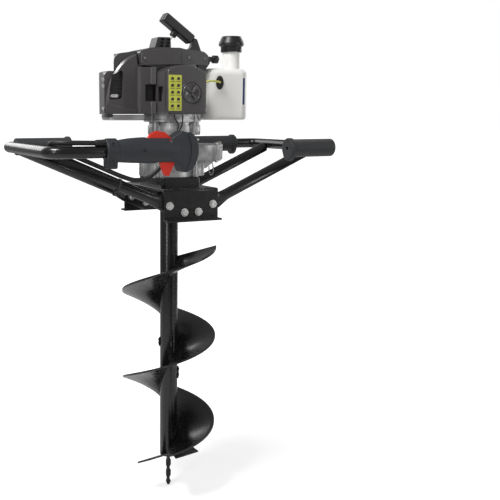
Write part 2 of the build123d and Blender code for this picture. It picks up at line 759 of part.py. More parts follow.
with BuildPart() as muffler:
    with BuildSketch(Plane.XY.offset(834)):
        with Locations((MUFFLER_X, MUFFLER_Y)):
            RectangleRounded(66, 38, 10)
    extrude(amount=62)
    fillet(muffler.edges().group_by(Axis.Z)[-1] + muffler.edges().group_by(Axis.Z)[0], 4)
    with Locations((MUFFLER_X, MUFFLER_Y, 865)):
        Box(58, 30, 54, mode=Mode.SUBTRACT)
    # neck to the exhaust port, and the outlet
    with BuildSketch(Plane.XZ.offset(-34.2)):
        with Locations((MUFFLER_X, CYLINDER_Z)):
            Circle(12)
            Circle(9, mode=Mode.SUBTRACT)
    extrude(amount=-20)
    with BuildSketch(Plane.XZ.offset(-86)):
        with Locations((MUFFLER_X + 18, 846)):
            Circle(5)
    extrude(amount=-12, mode=Mode.SUBTRACT)
save(muffler.part, "muffler")

SHROUD_FRONT = -42
SHROUD_BACK = 48
SHROUD_RIGHT = -47
SHROUD_LEFT = -160
SHROUD_LOW = 813
SHELL = 2.5

with BuildPart() as shroud:
    # front outline, then the slanted left side, then the hollow
    with BuildSketch(Plane.XZ.offset(-SHROUD_BACK)):
        with BuildLine():
            Polyline(
                (SHROUD_LEFT, SHROUD_LOW),
                (SHROUD_LEFT, 883),
                (-144, 906),
                (-118, 925),
                (-86, 936),
                (-86, 906),
                (SHROUD_RIGHT, 906),
                (SHROUD_RIGHT, SHROUD_LOW),
                close=True,
            )
        make_face()
    extrude(amount=SHROUD_BACK - SHROUD_FRONT)
    with BuildSketch(Plane.XY.offset(800)):
        with BuildLine():
            Polyline((-161, -43), (-158, -43), (-135, 49), (-161, 49), close=True)
        make_face()
    extrude(amount=150, mode=Mode.SUBTRACT)
    fillet(shroud.edges().filter_by(Axis.Y).group_by(Axis.X)[0], 5)
    with BuildSketch(Plane.XZ.offset(-SHROUD_BACK + SHELL)):
        with BuildLine():
            Polyline(
                (-129, SHROUD_LOW - 1),
                (-129, 890),
                (-108, 908),
                (-90, 914),
                (-90, 903),
                (SHROUD_RIGHT + 1, 903),
                (SHROUD_RIGHT + 1, SHROUD_LOW - 1),
                close=True,
            )
        make_face()
    extrude(amount=SHROUD_BACK - SHROUD_FRONT - 2 * SHELL, mode=Mode.SUBTRACT)
    with BuildSketch(Plane.XY.offset(SHROUD_LOW - 1)):
        with BuildLine():
            Polyline((-154, -39), (-129, -39), (-129, 45), (-133, 45), close=True)
        make_face()
    extrude(amount=70, mode=Mode.SUBTRACT)
    # opening in the back wall for the exhaust
    with Locations((MUFFLER_X, SHROUD_BACK, CYLINDER_Z)):
        Cylinder(14, 20, rotation=(90, 0, 0), mode=Mode.SUBTRACT)
save(shroud.part, "engine_shroud")

with BuildPart() as lower_tin:
    with BuildSketch(Plane.XY.offset(800)):
        with Locations((-101, 2)):
            RectangleRounded(90, 70, 12)
    extrude(amount=12.5)
    fillet(lower_tin.faces().sort_by(Axis.Z)[0].edges(), 5)
    with BuildSketch(Plane.XY.offset(806)):
        with Locations((-101, 2)):
            RectangleRounded(84, 64, 9)
    extrude(amount=10, mode=Mode.SUBTRACT)
save(lower_tin.part, "lower_tin")

# ---- starter on top of the engine ----

COVER_LEFT = -85
COVER_RIGHT = 70
COVER_FRONT = -44
COVER_BACK = 54
COVER_X = (COVER_LEFT + COVER_RIGHT) / 2
COVER_Y = (COVER_FRONT + COVER_BACK) / 2

with BuildPart() as starter_cover:
    with BuildSketch(Plane.XY.offset(STARTER_LOW)):
        with Locations((COVER_X, COVER_Y)):
            RectangleRounded(COVER_RIGHT - COVER_LEFT, COVER_BACK - COVER_FRONT, 14)
    extrude(amount=STARTER_TOP - STARTER_LOW)
    fillet(starter_cover.faces().sort_by(Axis.Z)[-1].edges(), 7)
    with Locations((0, 0, STARTER_LOW)):
        Cylinder(41.5, 60, mode=Mode.SUBTRACT)
    # passage for the rope
    with BuildSketch(Plane((-6, 0, STARTER_TOP - 14))):
        Rectangle(12, 8)
    extrude(amount=20, mode=Mode.SUBTRACT)
save(starter_cover.part, "starter_cover")

REEL_LOW = 911
REEL_R = 38

with BuildPart() as starter_reel:
    with BuildSketch(Plane.XY.offset(REEL_LOW)):
        Circle(REEL_R)
        Circle(12, mode=Mode.SUBTRACT)
    extrude(amount=2.5)
    with BuildSketch(Plane.XY.offset(REEL_LOW + 2.5)):
        Circle(28)
        Circle(12, mode=Mode.SUBTRACT)
    extrude(amount=9)
    with BuildSketch(Plane.XY.offset(REEL_LOW + 11.5)):
        Circle(REEL_R)
        Circle(12, mode=Mode.SUBTRACT)
    extrude(amount=2.5)
save(starter_reel.part, "starter_reel")

with BuildPart() as starter_rope:
    # the rope wound on the reel
    with BuildSketch(Plane.XY.offset(REEL_LOW + 2.7)):
        Circle(36)
        Circle(28.05, mode=Mode.SUBTRACT)
    extrude(amount=8.6)
save(starter_rope.part, "starter_rope")

with BuildPart() as recoil_spring:
    with BuildSketch(Plane.XY.offset(REEL_LOW + 16)):
        Circle(30)
        Circle(14, mode=Mode.SUBTRACT)
    extrude(amount=8)
save(recoil_spring.part, "recoil_spring")

GUIDE_LEFT = -34
GUIDE_RIGHT = 26
BAR_CENTRE = Vector(17, 0, 985)
PULL = Vector(sin(radians(PULL_LEAN)), 0, cos(radians(PULL_LEAN)))
BAR_LONG = 78
BAR_THICK = 19
BAR_WIDE = 24

with BuildPart() as rope_guide:
    with BuildSketch(Plane.XZ.offset(-16)):
        with BuildLine():
            Polyline(
                (GUIDE_LEFT, STARTER_TOP),
                (GUIDE_LEFT + 7, GUIDE_TOP),
                (GUIDE_RIGHT - 20, GUIDE_TOP),
                (GUIDE_RIGHT, GUIDE_TOP - 13),
                (GUIDE_RIGHT, STARTER_TOP),
                close=True,
            )
        make_face()
    extrude(amount=32)
    # rest for the lower end of the handle
    with BuildSketch(Plane.XZ.offset(-6)):
        with BuildLine():
            Polyline((46, STARTER_TOP), (70, STARTER_TOP), (57, 968), (46.5, 950), close=True)
        make_face()
    extrude(amount=12)
    with BuildSketch(Plane(BAR_CENTRE - PULL * 60, z_dir=PULL)):
        Circle(4)
    extrude(amount=60, mode=Mode.SUBTRACT)
save(rope_guide.part, "rope_guide")

with BuildPart() as starter_handle:
    bar_plane = Plane(BAR_CENTRE, x_dir=(cos(radians(PULL_LEAN)), 0, -sin(radians(PULL_LEAN))), z_dir=PULL)
    with BuildSketch(bar_plane.offset(-BAR_THICK / 2)):
        RectangleRounded(BAR_LONG, BAR_WIDE, 5)
    extrude(amount=BAR_THICK)
    fillet(starter_handle.edges().filter_by(Axis.Y), 3)
    with BuildSketch(bar_plane.offset(-BAR_THICK / 2)):
        Circle(8)
    extrude(amount=-9, taper=8)
save(starter_handle.part, "starter_handle")

with BuildPart() as stop_switch:
    for radius, left, right in ((5, 70.3, 84), (8, 84, 94)):
        with BuildSketch(Plane.YZ.offset(left)):
            with Locations((-30, 924)):
                Circle(radius)
        extrude(amount=right - left)
    with Locations((94, -30, 924)):
        Box(3, 13, 3)
save(stop_switch.part, "stop_switch")

# ---- intake at the front ----

FILTER_FRONT = -115
FILTER_JOIN = -66
FILTER_LEFT = -58
FILTER_RIGHT = 26
KNOB_X = -8
KNOB_Z = 853
KNOB_R = 19.5


def filter_outline(gap):
    """Front outline of the air filter, drawn in by the given gap."""
    return (
        (FILTER_LEFT + gap, SHROUD_LOW + gap),
        (FILTER_LEFT + gap, 896 - gap),
        (-16, 906 - gap),
        (FILTER_RIGHT - gap, 893 - gap),
        (FILTER_RIGHT - gap, SHROUD_LOW + gap),
    )


def filter_block(gap, front, back):
    """Solid block with the filter's arched outline, between two Y positions."""
    corner_a, corner_b, crown, corner_c, corner_d = filter_outline(gap)
    with BuildPart() as block:
        with BuildSketch(Plane.XZ.offset(-back)):
            with BuildLine():
                Line(corner_a, corner_b)
                ThreePointArc(corner_b, crown, corner_c)
                Polyline(corner_c, corner_d, corner_a)
            make_face()
        extrude(amount=back - front)
        fillet(block.edges().filter_by(Axis.Y), 6)
    return block.part


with BuildPart() as filter_cover:
    add(filter_block(0, FILTER_FRONT, FILTER_JOIN))
    fillet(filter_cover.faces().sort_by(Axis.Y)[0].edges(), 4)
    add(filter_block(SHELL, FILTER_FRONT + 6, FILTER_JOIN + 1), mode=Mode.SUBTRACT)
    # dished seat and hole for the knob, and the air inlet on the left side
    with BuildSketch(Plane.XZ.offset(-FILTER_FRONT)):
        with Locations((KNOB_X, KNOB_Z)):
            Circle(KNOB_R + 1)
    extrude(amount=-3, mode=Mode.SUBTRACT)
    with BuildSketch(Plane.XZ.offset(-FILTER_FRONT)):
        with Locations((KNOB_X, KNOB_Z)):
            Circle(4.4)
    extrude(amount=-10, mode=Mode.SUBTRACT)
    with Locations((FILTER_LEFT, -82, 852)):
        Box(12, 24, 28, mode=Mode.SUBTRACT)
save(filter_cover.part, "filter_cover")

with BuildPart() as filter_base:
    add(filter_block(1, FILTER_JOIN, BASE_BACK))
    with BuildSketch(Plane.XZ.offset(-BASE_BACK)):
        with Locations((-28, CYLINDER_Z)):
            Circle(9)
        with Locations((KNOB_X, KNOB_Z)):
            Circle(4.05)
    extrude(amount=20, mode=Mode.SUBTRACT)
save(filter_base.part, "filter_base")

with BuildPart() as filter_element:
    add(filter_block(9, -104, FILTER_JOIN - 2))
    with BuildSketch(Plane.XZ.offset(60)):
        with Locations((KNOB_X, KNOB_Z)):
            Circle(7)
        with Locations((-28, CYLINDER_Z)):
            Circle(9)
    extrude(amount=50, mode=Mode.SUBTRACT)
save(filter_element.part, "filter_element")

with BuildPart() as filter_knob:
    with BuildSketch(Plane.XZ.offset(-FILTER_FRONT - 2.6)):
        with Locations((KNOB_X, KNOB_Z)):
            Circle(KNOB_R)
    extrude(amount=5)
    fillet(filter_knob.edges().group_by(Axis.Y)[0], 1.5)
    # four hollows leave a cross to turn the knob by
    with BuildSketch(Plane.XZ.offset(-FILTER_FRONT + 2.4)):
        with Locations((KNOB_X, KNOB_Z)):
            with PolarLocations(11.5, 4):
                Circle(5.6)
    extrude(amount=-3.4, mode=Mode.SUBTRACT)
    with BuildSketch(Plane.XZ.offset(-BASE_BACK)):
        with Locations((KNOB_X, KNOB_Z)):
            Circle(4)
    extrude(amount=BASE_BACK - FILTER_FRONT - 2.6)
save(filter_knob.part, "filter_knob")

with BuildPart() as carburettor:
    with Locations((-16, -50, 860)):
        Box(44, 15.6, 36)
    with BuildSketch(Plane.XZ.offset(-BASE_BACK)):
        with Locations((-28, CYLINDER_Z)):
            Circle(8)
    extrude(amount=-17, mode=Mode.SUBTRACT)
save(carburettor.part, "carburettor")

# ---- fuel tank ----

TANK_LEFT = 66
TANK_RIGHT = 166
TANK_LOW = 802
NECK_X = 144
NECK_R = 18
NECK_HIGH = 957
TANK_WALL = 2.5
CAP_LOW = 942


def tank_body(gap):
    """Tank with rounded corners and a sloping shoulder, drawn in by the given gap."""
    with BuildPart() as body:
        with BuildSketch(Plane.XY.offset(TANK_LOW + gap)):
            with Locations(((TANK_LEFT + TANK_RIGHT) / 2, (TANK_FRONT + TANK_BACK) / 2)):
                RectangleRounded(
                    TANK_RIGHT - TANK_LEFT - 2 * gap, TANK_BACK - TANK_FRONT - 2 * gap, 24 - gap,
                )
        extrude(amount=104 - 2 * gap)
        fillet(body.edges().group_by(Axis.Z)[-1], 13 - gap)
        fillet(body.edges().group_by(Axis.Z)[0], 7 - gap)
        with Locations((NECK_X, 0, 880)):
            Cylinder(NECK_R - gap, NECK_HIGH - 880 + gap / 2, align=(Align.CENTER, Align.CENTER, Align.MIN))
    return body.part


GROMMET_X = 92
GROMMET_Z = 877

with BuildPart() as fuel_tank:
    add(tank_body(0))
    add(tank_body(TANK_WALL), mode=Mode.SUBTRACT)
    with BuildSketch(Plane.XZ.offset(-TANK_FRONT + 1)):
        with Locations((GROMMET_X, GROMMET_Z)):
            Ellipse(5, 8)
    extrude(amount=-8, mode=Mode.SUBTRACT)
save(fuel_tank.part, "fuel_tank")

with BuildPart() as fuel_cap:
    with BuildSketch(Plane.XZ):
        with BuildLine():
            Polyline(
                (0, NECK_HIGH + 1.5),
                (NECK_R + 0.4, NECK_HIGH + 1.5),
                (NECK_R + 0.4, CAP_LOW),
                (22, CAP_LOW),
                (22, CAP_LOW + 11),
                (26.5, CAP_LOW + 14),
                (26.5, CAP_LOW + 18),
                (20, CAP_LOW + 32),
                (0, CAP_LOW + 32),
                close=True,
            )
        make_face()
    revolve(axis=Axis.Z)
cap = fuel_cap.part.translate((NECK_X, 0, 0))
save(cap, "fuel_cap")

with BuildPart() as fuel_line:
    # oval grommet in the tank's wall, and the hose that runs from it to the carburettor
    with BuildSketch(Plane.XZ.offset(-TANK_FRONT)):
        with Locations((GROMMET_X, GROMMET_Z)):
            Ellipse(9, 14)
    extrude(amount=3)
    with BuildSketch(Plane.XZ.offset(-TANK_FRONT)):
        with Locations((GROMMET_X, GROMMET_Z)):
            Ellipse(4.9, 7.9)
    extrude(amount=-6)
    with BuildLine() as hose_route:
        FilletPolyline(
            (GROMMET_X, -47, GROMMET_Z),
            (GROMMET_X - 4, -54, GROMMET_Z + 1),
            (66, -54, 879),
            (44, -52, 872),
            (24, -50, 862),
            (6.2, -50, 860),
            radius=[4, 20, 22, 20],
        )
    with BuildSketch(Plane(hose_route.line @ 0, z_dir=hose_route.line % 0)):
        Circle(2)
    sweep(path=hose_route.line)
save(fuel_line.part, "fuel_line")

# ---- throttle handle on the front left arm ----

HANDLE_LEFT = -216
COLLAR_RIGHT = -187
BARREL_RIGHT = -60

with BuildPart() as handle:
    # barrel, its clamp collar, and the flared head with the finger guard
    with BuildSketch(Plane.YZ.offset(COLLAR_RIGHT)):
        with Locations((-RAIL_Y, 747)):
            Ellipse(HANDLE_HALF_Y - 1, 20)
    with BuildSketch(Plane.YZ.offset(-140)):
        with Locations((-RAIL_Y, 748)):
            Ellipse(HANDLE_HALF_Y, 23.5)
    with BuildSketch(Plane.YZ.offset(BARREL_RIGHT)):
        with Locations((-RAIL_Y, 746)):
            Ellipse(HANDLE_HALF_Y, 24)
    loft()
    with BuildSketch(Plane.YZ.offset(HANDLE_LEFT)):
        with Locations((-RAIL_Y, RAIL_Z + 2)):
            Circle(19)
        with Locations((-RAIL_Y, 725)):
            RectangleRounded(20, 20, 5)
        with Locations((-RAIL_Y, 763)):
            Circle(8)
    extrude(amount=COLLAR_RIGHT - HANDLE_LEFT)
    with BuildSketch(Plane.XZ.offset(RAIL_Y - HANDLE_HALF_Y + 1)):
        with BuildLine():
            Polyline(
                (-72, 770),
                (-51, 783),
                (-38, 780),
                (-22, 764),
                (-16, 748),
                (-28, 716),
                (-38, 706),
                (-50, 706),
                (-57, 722),
                (-72, 726),
                close=True,
            )
        make_face()
        fillet(vertices(), 3)
    extrude(amount=2 * HANDLE_HALF_Y - 2)
    # passage for the arm's tube and the conduit's end
    with BuildSketch(Plane.YZ.offset(HANDLE_LEFT - 1)):
        with Locations((-RAIL_Y, RAIL_Z)):
            Circle(RAIL_R + 0.05)
    extrude(amount=HANDLE_TUBE_END + 2 - HANDLE_LEFT, mode=Mode.SUBTRACT)
    # slots for the trigger below and the lock-off lever above
    with Locations((-78, -RAIL_Y, 721)):
        Box(41, 11.2, 42, mode=Mode.SUBTRACT)
    with Locations((-92.5, -RAIL_Y, 771)):
        Box(53, 10.2, 42, mode=Mode.SUBTRACT)
    for x, z in (TRIGGER_PIVOT, LOCK_PIVOT):
        with Locations((x, -RAIL_Y, z)):
            Cylinder(2.05, 24, rotation=(90, 0, 0), mode=Mode.SUBTRACT)

for name, keep in (("handle_shell_front", Keep.TOP), ("handle_shell_rear", Keep.BOTTOM)):
    half = split(handle.part, bisect_by=Plane.XZ.offset(RAIL_Y), keep=keep)
    save(half, name)

with BuildPart() as trigger:
    with BuildSketch(Plane.XZ.offset(RAIL_Y - 5)):
        with BuildLine():
            Polyline(
                (-91, 727), (-87, 713), (-81, 700), (-74, 699),
                (-68, 712), (-62, 724), (-62, 733), (-72, 733),
                close=True,
            )
        make_face()
        fillet(vertices(), 2)
    extrude(amount=10)
    with Locations((TRIGGER_PIVOT[0], -RAIL_Y, TRIGGER_PIVOT[1])):
        Cylinder(2, 22, rotation=(90, 0, 0))
save(trigger.part, "throttle_trigger")

with BuildPart() as lockoff:
    with BuildSketch(Plane.XZ.offset(RAIL_Y - 4.6)):
        with BuildLine():
            Polyline(
                (-114, 758), (-117, 768), (-111, 777), (-97, 783),
                (-82, 780), (-69, 770), (-69, 758),
                close=True,
            )
        make_face()
        fillet(vertices(), 2)
    extrude(amount=9.2)
    with Locations((LOCK_PIVOT[0], -RAIL_Y, LOCK_PIVOT[1])):
        Cylinder(2, 22, rotation=(90, 0, 0))
save(lockoff.part, "lockoff_lever")

# ---- conduit from the handle to the engine, and its tie ----


def route_radii(points):
    """Arc radius at each inner point: 0.45 of the shorter run over tan(half the turn)."""
    radii = []
    for before, corner, after in zip(points, points[1:], points[2:]):
        first = Vector(corner) - Vector(before)
        second = Vector(after) - Vector(corner)
        turn = radians(first.get_angle(second))
        radii.append(0.45 * min(first.length, second.length) / tan(turn / 2))
    return radii


CONDUIT_ROUTE = (
    (-216.2, -150, 762.3),
    (-247, -150.5, 763),
    (-276, -148, 763.5),
    (-293, -131, 763),
    (-293, -108, 759),
    (-272, -94, 752),
    (-236, -89, 736),
    (-188, -88, 715.5),
    (-146, -89, 697),
    (-117, -91, 687),
    (-91, -93, 690),
    (-68, -94, 707),
    (-50, -93, 731),
    (-36, -91, 756),
    (-24, -88, 778),
)
WIRE_END_Z = 812.8


def tube_along(points, radius):
    """Round tube whose path is straight runs joined by tangent arcs."""
    with BuildPart() as body:
        with BuildLine() as route:
            FilletPolyline(*points, radius=route_radii(points))
        with BuildSketch(Plane(route.line @ 0, z_dir=route.line % 0)):
            Circle(radius)
        sweep(path=route.line)
    long = sum(edge.length for edge in route.edges())
    print("route length", round(long, 1), "radii", [round(r, 1) for r in route_radii(points)])
    return body.part


save(tube_along(CONDUIT_ROUTE, CONDUIT_R), "throttle_conduit")

conduit_end = Vector(*CONDUIT_ROUTE[-1])
conduit_last = (conduit_end - Vector(*CONDUIT_ROUTE[-2])).normalized()
wires = []
for side in (-1, 1):
    start = conduit_end + conduit_last * 1.2 + Vector(side * 2, 0, 0)
    wires.append(
        tube_along(
            (
                tuple(start),
                tuple(start + conduit_last * 14 + Vector(side * 1.5, 0, 0)),
                (-18 + side * 9, -80, WIRE_END_Z - 6),
                (-18 + side * 9, -80, WIRE_END_Z),
            ),
            WIRE_R,
        )
    )
save(Compound(children=wires), "ignition_wires")

TIE_X = -150
TIE_THICK = 1.3
lean = radians(BRACE_ANGLE)
tie_centre = Vector(TIE_X, -BRACE_PLANE_Y, BOLT_IN_Z + (-TIE_X - BOLT_IN_X) * BRACE_SLOPE)
tie_plane = Plane(tie_centre, x_dir=(0, 1, 0), z_dir=(-cos(lean), 0, sin(lean)))
CONDUIT_RISE = 16.6

with BuildPart() as cable_tie:
    with BuildSketch(tie_plane.offset(-2.4)):
        Circle(RAIL_R + 0.1 + TIE_THICK)
        with Locations((0, CONDUIT_RISE)):
            Circle(CONDUIT_R + 0.6 + TIE_THICK)
        make_hull()
        Circle(RAIL_R + 0.1, mode=Mode.SUBTRACT)
        with Locations((0, CONDUIT_RISE)):
            Circle(CONDUIT_R + 0.6, mode=Mode.SUBTRACT)
    extrude(amount=4.8)
save(cable_tie.part, "cable_tie")
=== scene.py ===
import json
from math import cos, pi, radians, sin

import bmesh
import bpy
from mathutils import Matrix, Vector


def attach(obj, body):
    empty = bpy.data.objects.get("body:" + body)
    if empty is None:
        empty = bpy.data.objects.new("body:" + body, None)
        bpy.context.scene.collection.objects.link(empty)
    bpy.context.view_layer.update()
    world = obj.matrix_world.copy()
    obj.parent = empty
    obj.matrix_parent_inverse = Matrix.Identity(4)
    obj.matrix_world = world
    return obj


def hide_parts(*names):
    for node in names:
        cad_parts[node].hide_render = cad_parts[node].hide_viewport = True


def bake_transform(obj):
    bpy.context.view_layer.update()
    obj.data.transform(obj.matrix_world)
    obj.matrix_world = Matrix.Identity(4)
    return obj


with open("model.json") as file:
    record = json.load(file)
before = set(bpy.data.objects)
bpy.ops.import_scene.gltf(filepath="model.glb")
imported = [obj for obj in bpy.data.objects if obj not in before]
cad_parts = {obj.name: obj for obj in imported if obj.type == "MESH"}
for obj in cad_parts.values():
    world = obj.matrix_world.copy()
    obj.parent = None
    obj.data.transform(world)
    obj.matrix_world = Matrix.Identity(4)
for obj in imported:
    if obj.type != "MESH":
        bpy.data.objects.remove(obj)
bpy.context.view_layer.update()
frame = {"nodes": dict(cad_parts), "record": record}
NODES = frame["nodes"]
# pieces are drawn in millimetres, the camera, lights and floor in metres
MM = 0.001

# ---------------------------------------------------------------- camera and light

CAMERA_PLACE = (-0.7197, -1.5098, 0.8133)
CAMERA_PITCH = 9.63
CAMERA_YAW = -24.58
CAMERA_LENS = 57.6
CAMERA_SENSOR = 36
CAMERA_SHIFT_X = 0.187

WHITE = (1, 1, 1, 1)
SURROUND_STRENGTH = 0.24
BACKDROP_STRENGTH = 1.0
FLOOR_HALF = 30
FLOOR_DROP = 0.002
FLOOR_GREY = 0.8
GLOW_SCALE = 0.6
GLOW_NEAR = 0.55
LIGHT_TARGET = (0, 0, 0.65)


def make_camera():
    data = bpy.data.cameras.new("camera")
    data.sensor_width = CAMERA_SENSOR
    data.lens = CAMERA_LENS
    data.shift_x = CAMERA_SHIFT_X
    camera = bpy.data.objects.new("camera", data)
    camera.location = CAMERA_PLACE
    camera.rotation_euler = (radians(90 - CAMERA_PITCH), 0, radians(CAMERA_YAW))
    bpy.context.scene.collection.objects.link(camera)
    bpy.context.scene.camera = camera


def area_light(name, place, target, size, power):
    """Softbox at place, facing target."""
    data = bpy.data.lights.new(name, "AREA")
    data.shape = "RECTANGLE"
    data.size, data.size_y = size
    data.energy = power
    light = bpy.data.objects.new(name, data)
    light.location = place
    light.rotation_euler = (Vector(target) - Vector(place)).to_track_quat("-Z", "Y").to_euler()
    bpy.context.scene.collection.objects.link(light)


def make_world():
    """White backdrop for the camera, and a dimmer surround that lights the object."""
    world = bpy.data.worlds.new("studio")
    bpy.context.scene.world = world
    world.use_nodes = True
    tree = world.node_tree
    surround = tree.nodes["Background"]
    surround.inputs["Color"].default_value = WHITE
    surround.inputs["Strength"].default_value = SURROUND_STRENGTH
    backdrop = tree.nodes.new("ShaderNodeBackground")
    backdrop.inputs["Color"].default_value = WHITE
    backdrop.inputs["Strength"].default_value = BACKDROP_STRENGTH
    path = tree.nodes.new("ShaderNodeLightPath")
    choose = tree.nodes.new("ShaderNodeMixShader")
    tree.links.new(path.outputs["Is Camera Ray"], choose.inputs[0])
    tree.links.new(surround.outputs[0], choose.inputs[1])
    tree.links.new(backdrop.outputs[0], choose.inputs[2])
    tree.links.new(choose.outputs[0], tree.nodes["World Output"].inputs["Surface"])


def floor_finish():
    """White floor, with a glow that shows to the camera only and doesn't light the object."""
    material = bpy.data.materials.new("floor_white")
    material.use_nodes = True
    nodes = material.node_tree.nodes
    links = material.node_tree.links
    shader = nodes["Principled BSDF"]
    shader.inputs["Base Color"].default_value = (FLOOR_GREY, FLOOR_GREY, FLOOR_GREY, 1)
    shader.inputs["Roughness"].default_value = 0.9
    shader.inputs["Specular IOR Level"].default_value = 0.0
    # brighter far from the object, so that the floor runs into the white backdrop
    place = nodes.new("ShaderNodeTexCoord")
    spread = nodes.new("ShaderNodeMapping")
    spread.inputs["Scale"].default_value = (GLOW_SCALE, GLOW_SCALE, GLOW_SCALE)
    ball = nodes.new("ShaderNodeTexGradient")
    ball.gradient_type = "SPHERICAL"
    glow = nodes.new("ShaderNodeValToRGB")
    glow.color_ramp.elements[0].position = 0.2
    glow.color_ramp.elements[0].color = WHITE
    glow.color_ramp.elements[1].position = 0.8
    glow.color_ramp.elements[1].color = (GLOW_NEAR, GLOW_NEAR, GLOW_NEAR, 1)
    links.new(place.outputs["Object"], spread.inputs["Vector"])
    links.new(spread.outputs["Vector"], ball.inputs["Vector"])
    links.new(ball.outputs["Fac"], glow.inputs["Fac"])
    light = nodes.new("ShaderNodeEmission")
    links.new(glow.outputs["Color"], light.inputs["Color"])
    path = nodes.new("ShaderNodeLightPath")
    shown = nodes.new("ShaderNodeMixShader")
    both = nodes.new("ShaderNodeAddShader")
    links.new(shader.outputs["BSDF"], both.inputs[0])
    links.new(light.outputs["Emission"], both.inputs[1])
    links.new(path.outputs["Is Camera Ray"], shown.inputs[0])
    links.new(shader.outputs["BSDF"], shown.inputs[1])
    links.new(both.outputs["Shader"], shown.inputs[2])
    links.new(shown.outputs["Shader"], nodes["Material Output"].inputs["Surface"])
    return material


def make_floor():
    mesh = bpy.data.meshes.new("floor")
    corners = [(-FLOOR_HALF, -FLOOR_HALF, 0), (FLOOR_HALF, -FLOOR_HALF, 0),
               (FLOOR_HALF, FLOOR_HALF, 0), (-FLOOR_HALF, FLOOR_HALF, 0)]
    mesh.from_pydata(corners, [], [(0, 1, 2, 3)])
    mesh.materials.append(floor_finish())
    floor = bpy.data.objects.new("floor", mesh)
    floor.location.z = -FLOOR_DROP
    bpy.context.scene.collection.objects.link(floor)


def make_studio():
    """White sweep and five softboxes."""
    bpy.context.scene.view_settings.view_transform = "Standard"
    make_world()
    make_floor()
    area_light("key", (-1.1, -0.4, 2.3), LIGHT_TARGET, (0.7, 0.5), 34)
    area_light("left", (-2.3, -1.6, 1.5), LIGHT_TARGET, (0.22, 1.6), 13)
    area_light("fill", (1.9, -2.3, 1.3), LIGHT_TARGET, (0.3, 1.8), 13)
    area_light("rim", (2.4, 0.9, 1.3), LIGHT_TARGET, (0.3, 1.9), 13)
    area_light("back", (-0.6, 2.5, 1.7), LIGHT_TARGET, (1.6, 1.2), 14)


make_camera()
make_studio()

# ---------------------------------------------------------------- materials


COAT_ROUGHNESS = 0.18
SUBSURFACE_REACH = 0.01
GRAIN_DEPTH = 0.0006


def surface(name, dark, light, rough, grain, bump, metal=0.0, coat=0.0, spread=0.08, patch=9.0,
            subsurface=0.0, sheen=0.0):
    """Procedural finish. The colour drifts between dark and light over patches, and fine
    grain sets the bump and varies the roughness by spread."""
    material = bpy.data.materials.new(name)
    material.use_nodes = True
    tree = material.node_tree
    shader = tree.nodes["Principled BSDF"]
    shader.inputs["Metallic"].default_value = metal
    shader.inputs["Coat Weight"].default_value = coat
    shader.inputs["Coat Roughness"].default_value = COAT_ROUGHNESS
    shader.inputs["Subsurface Weight"].default_value = subsurface
    shader.inputs["Subsurface Scale"].default_value = SUBSURFACE_REACH
    shader.inputs["Sheen Weight"].default_value = sheen
    place = tree.nodes.new("ShaderNodeTexCoord")

    def noise(scale, detail):
        node = tree.nodes.new("ShaderNodeTexNoise")
        node.inputs["Scale"].default_value = scale
        node.inputs["Detail"].default_value = detail
        tree.links.new(place.outputs["Object"], node.inputs["Vector"])
        return node

    def ramp(source, low, high, start=0.35, stop=0.65):
        node = tree.nodes.new("ShaderNodeValToRGB")
        node.color_ramp.elements[0].position = start
        node.color_ramp.elements[0].color = (*low, 1)
        node.color_ramp.elements[1].position = stop
        node.color_ramp.elements[1].color = (*high, 1)
        tree.links.new(source.outputs["Fac"], node.inputs["Fac"])
        return node

    drift = noise(patch, 5.0)
    tree.links.new(ramp(drift, dark, light).outputs["Color"], shader.inputs["Base Color"])
    fine = noise(grain, 3.0)
    low = rough - spread
    high = rough + spread
    gloss = ramp(fine, (low,) * 3, (high,) * 3, 0.2, 0.8)
    tree.links.new(gloss.outputs["Color"], shader.inputs["Roughness"])
    relief = tree.nodes.new("ShaderNodeBump")
    relief.inputs["Strength"].default_value = bump
    relief.inputs["Distance"].default_value = GRAIN_DEPTH
    tree.links.new(fine.outputs["Fac"], relief.inputs["Height"])
    tree.links.new(relief.outputs["Normal"], shader.inputs["Normal"])
    return material


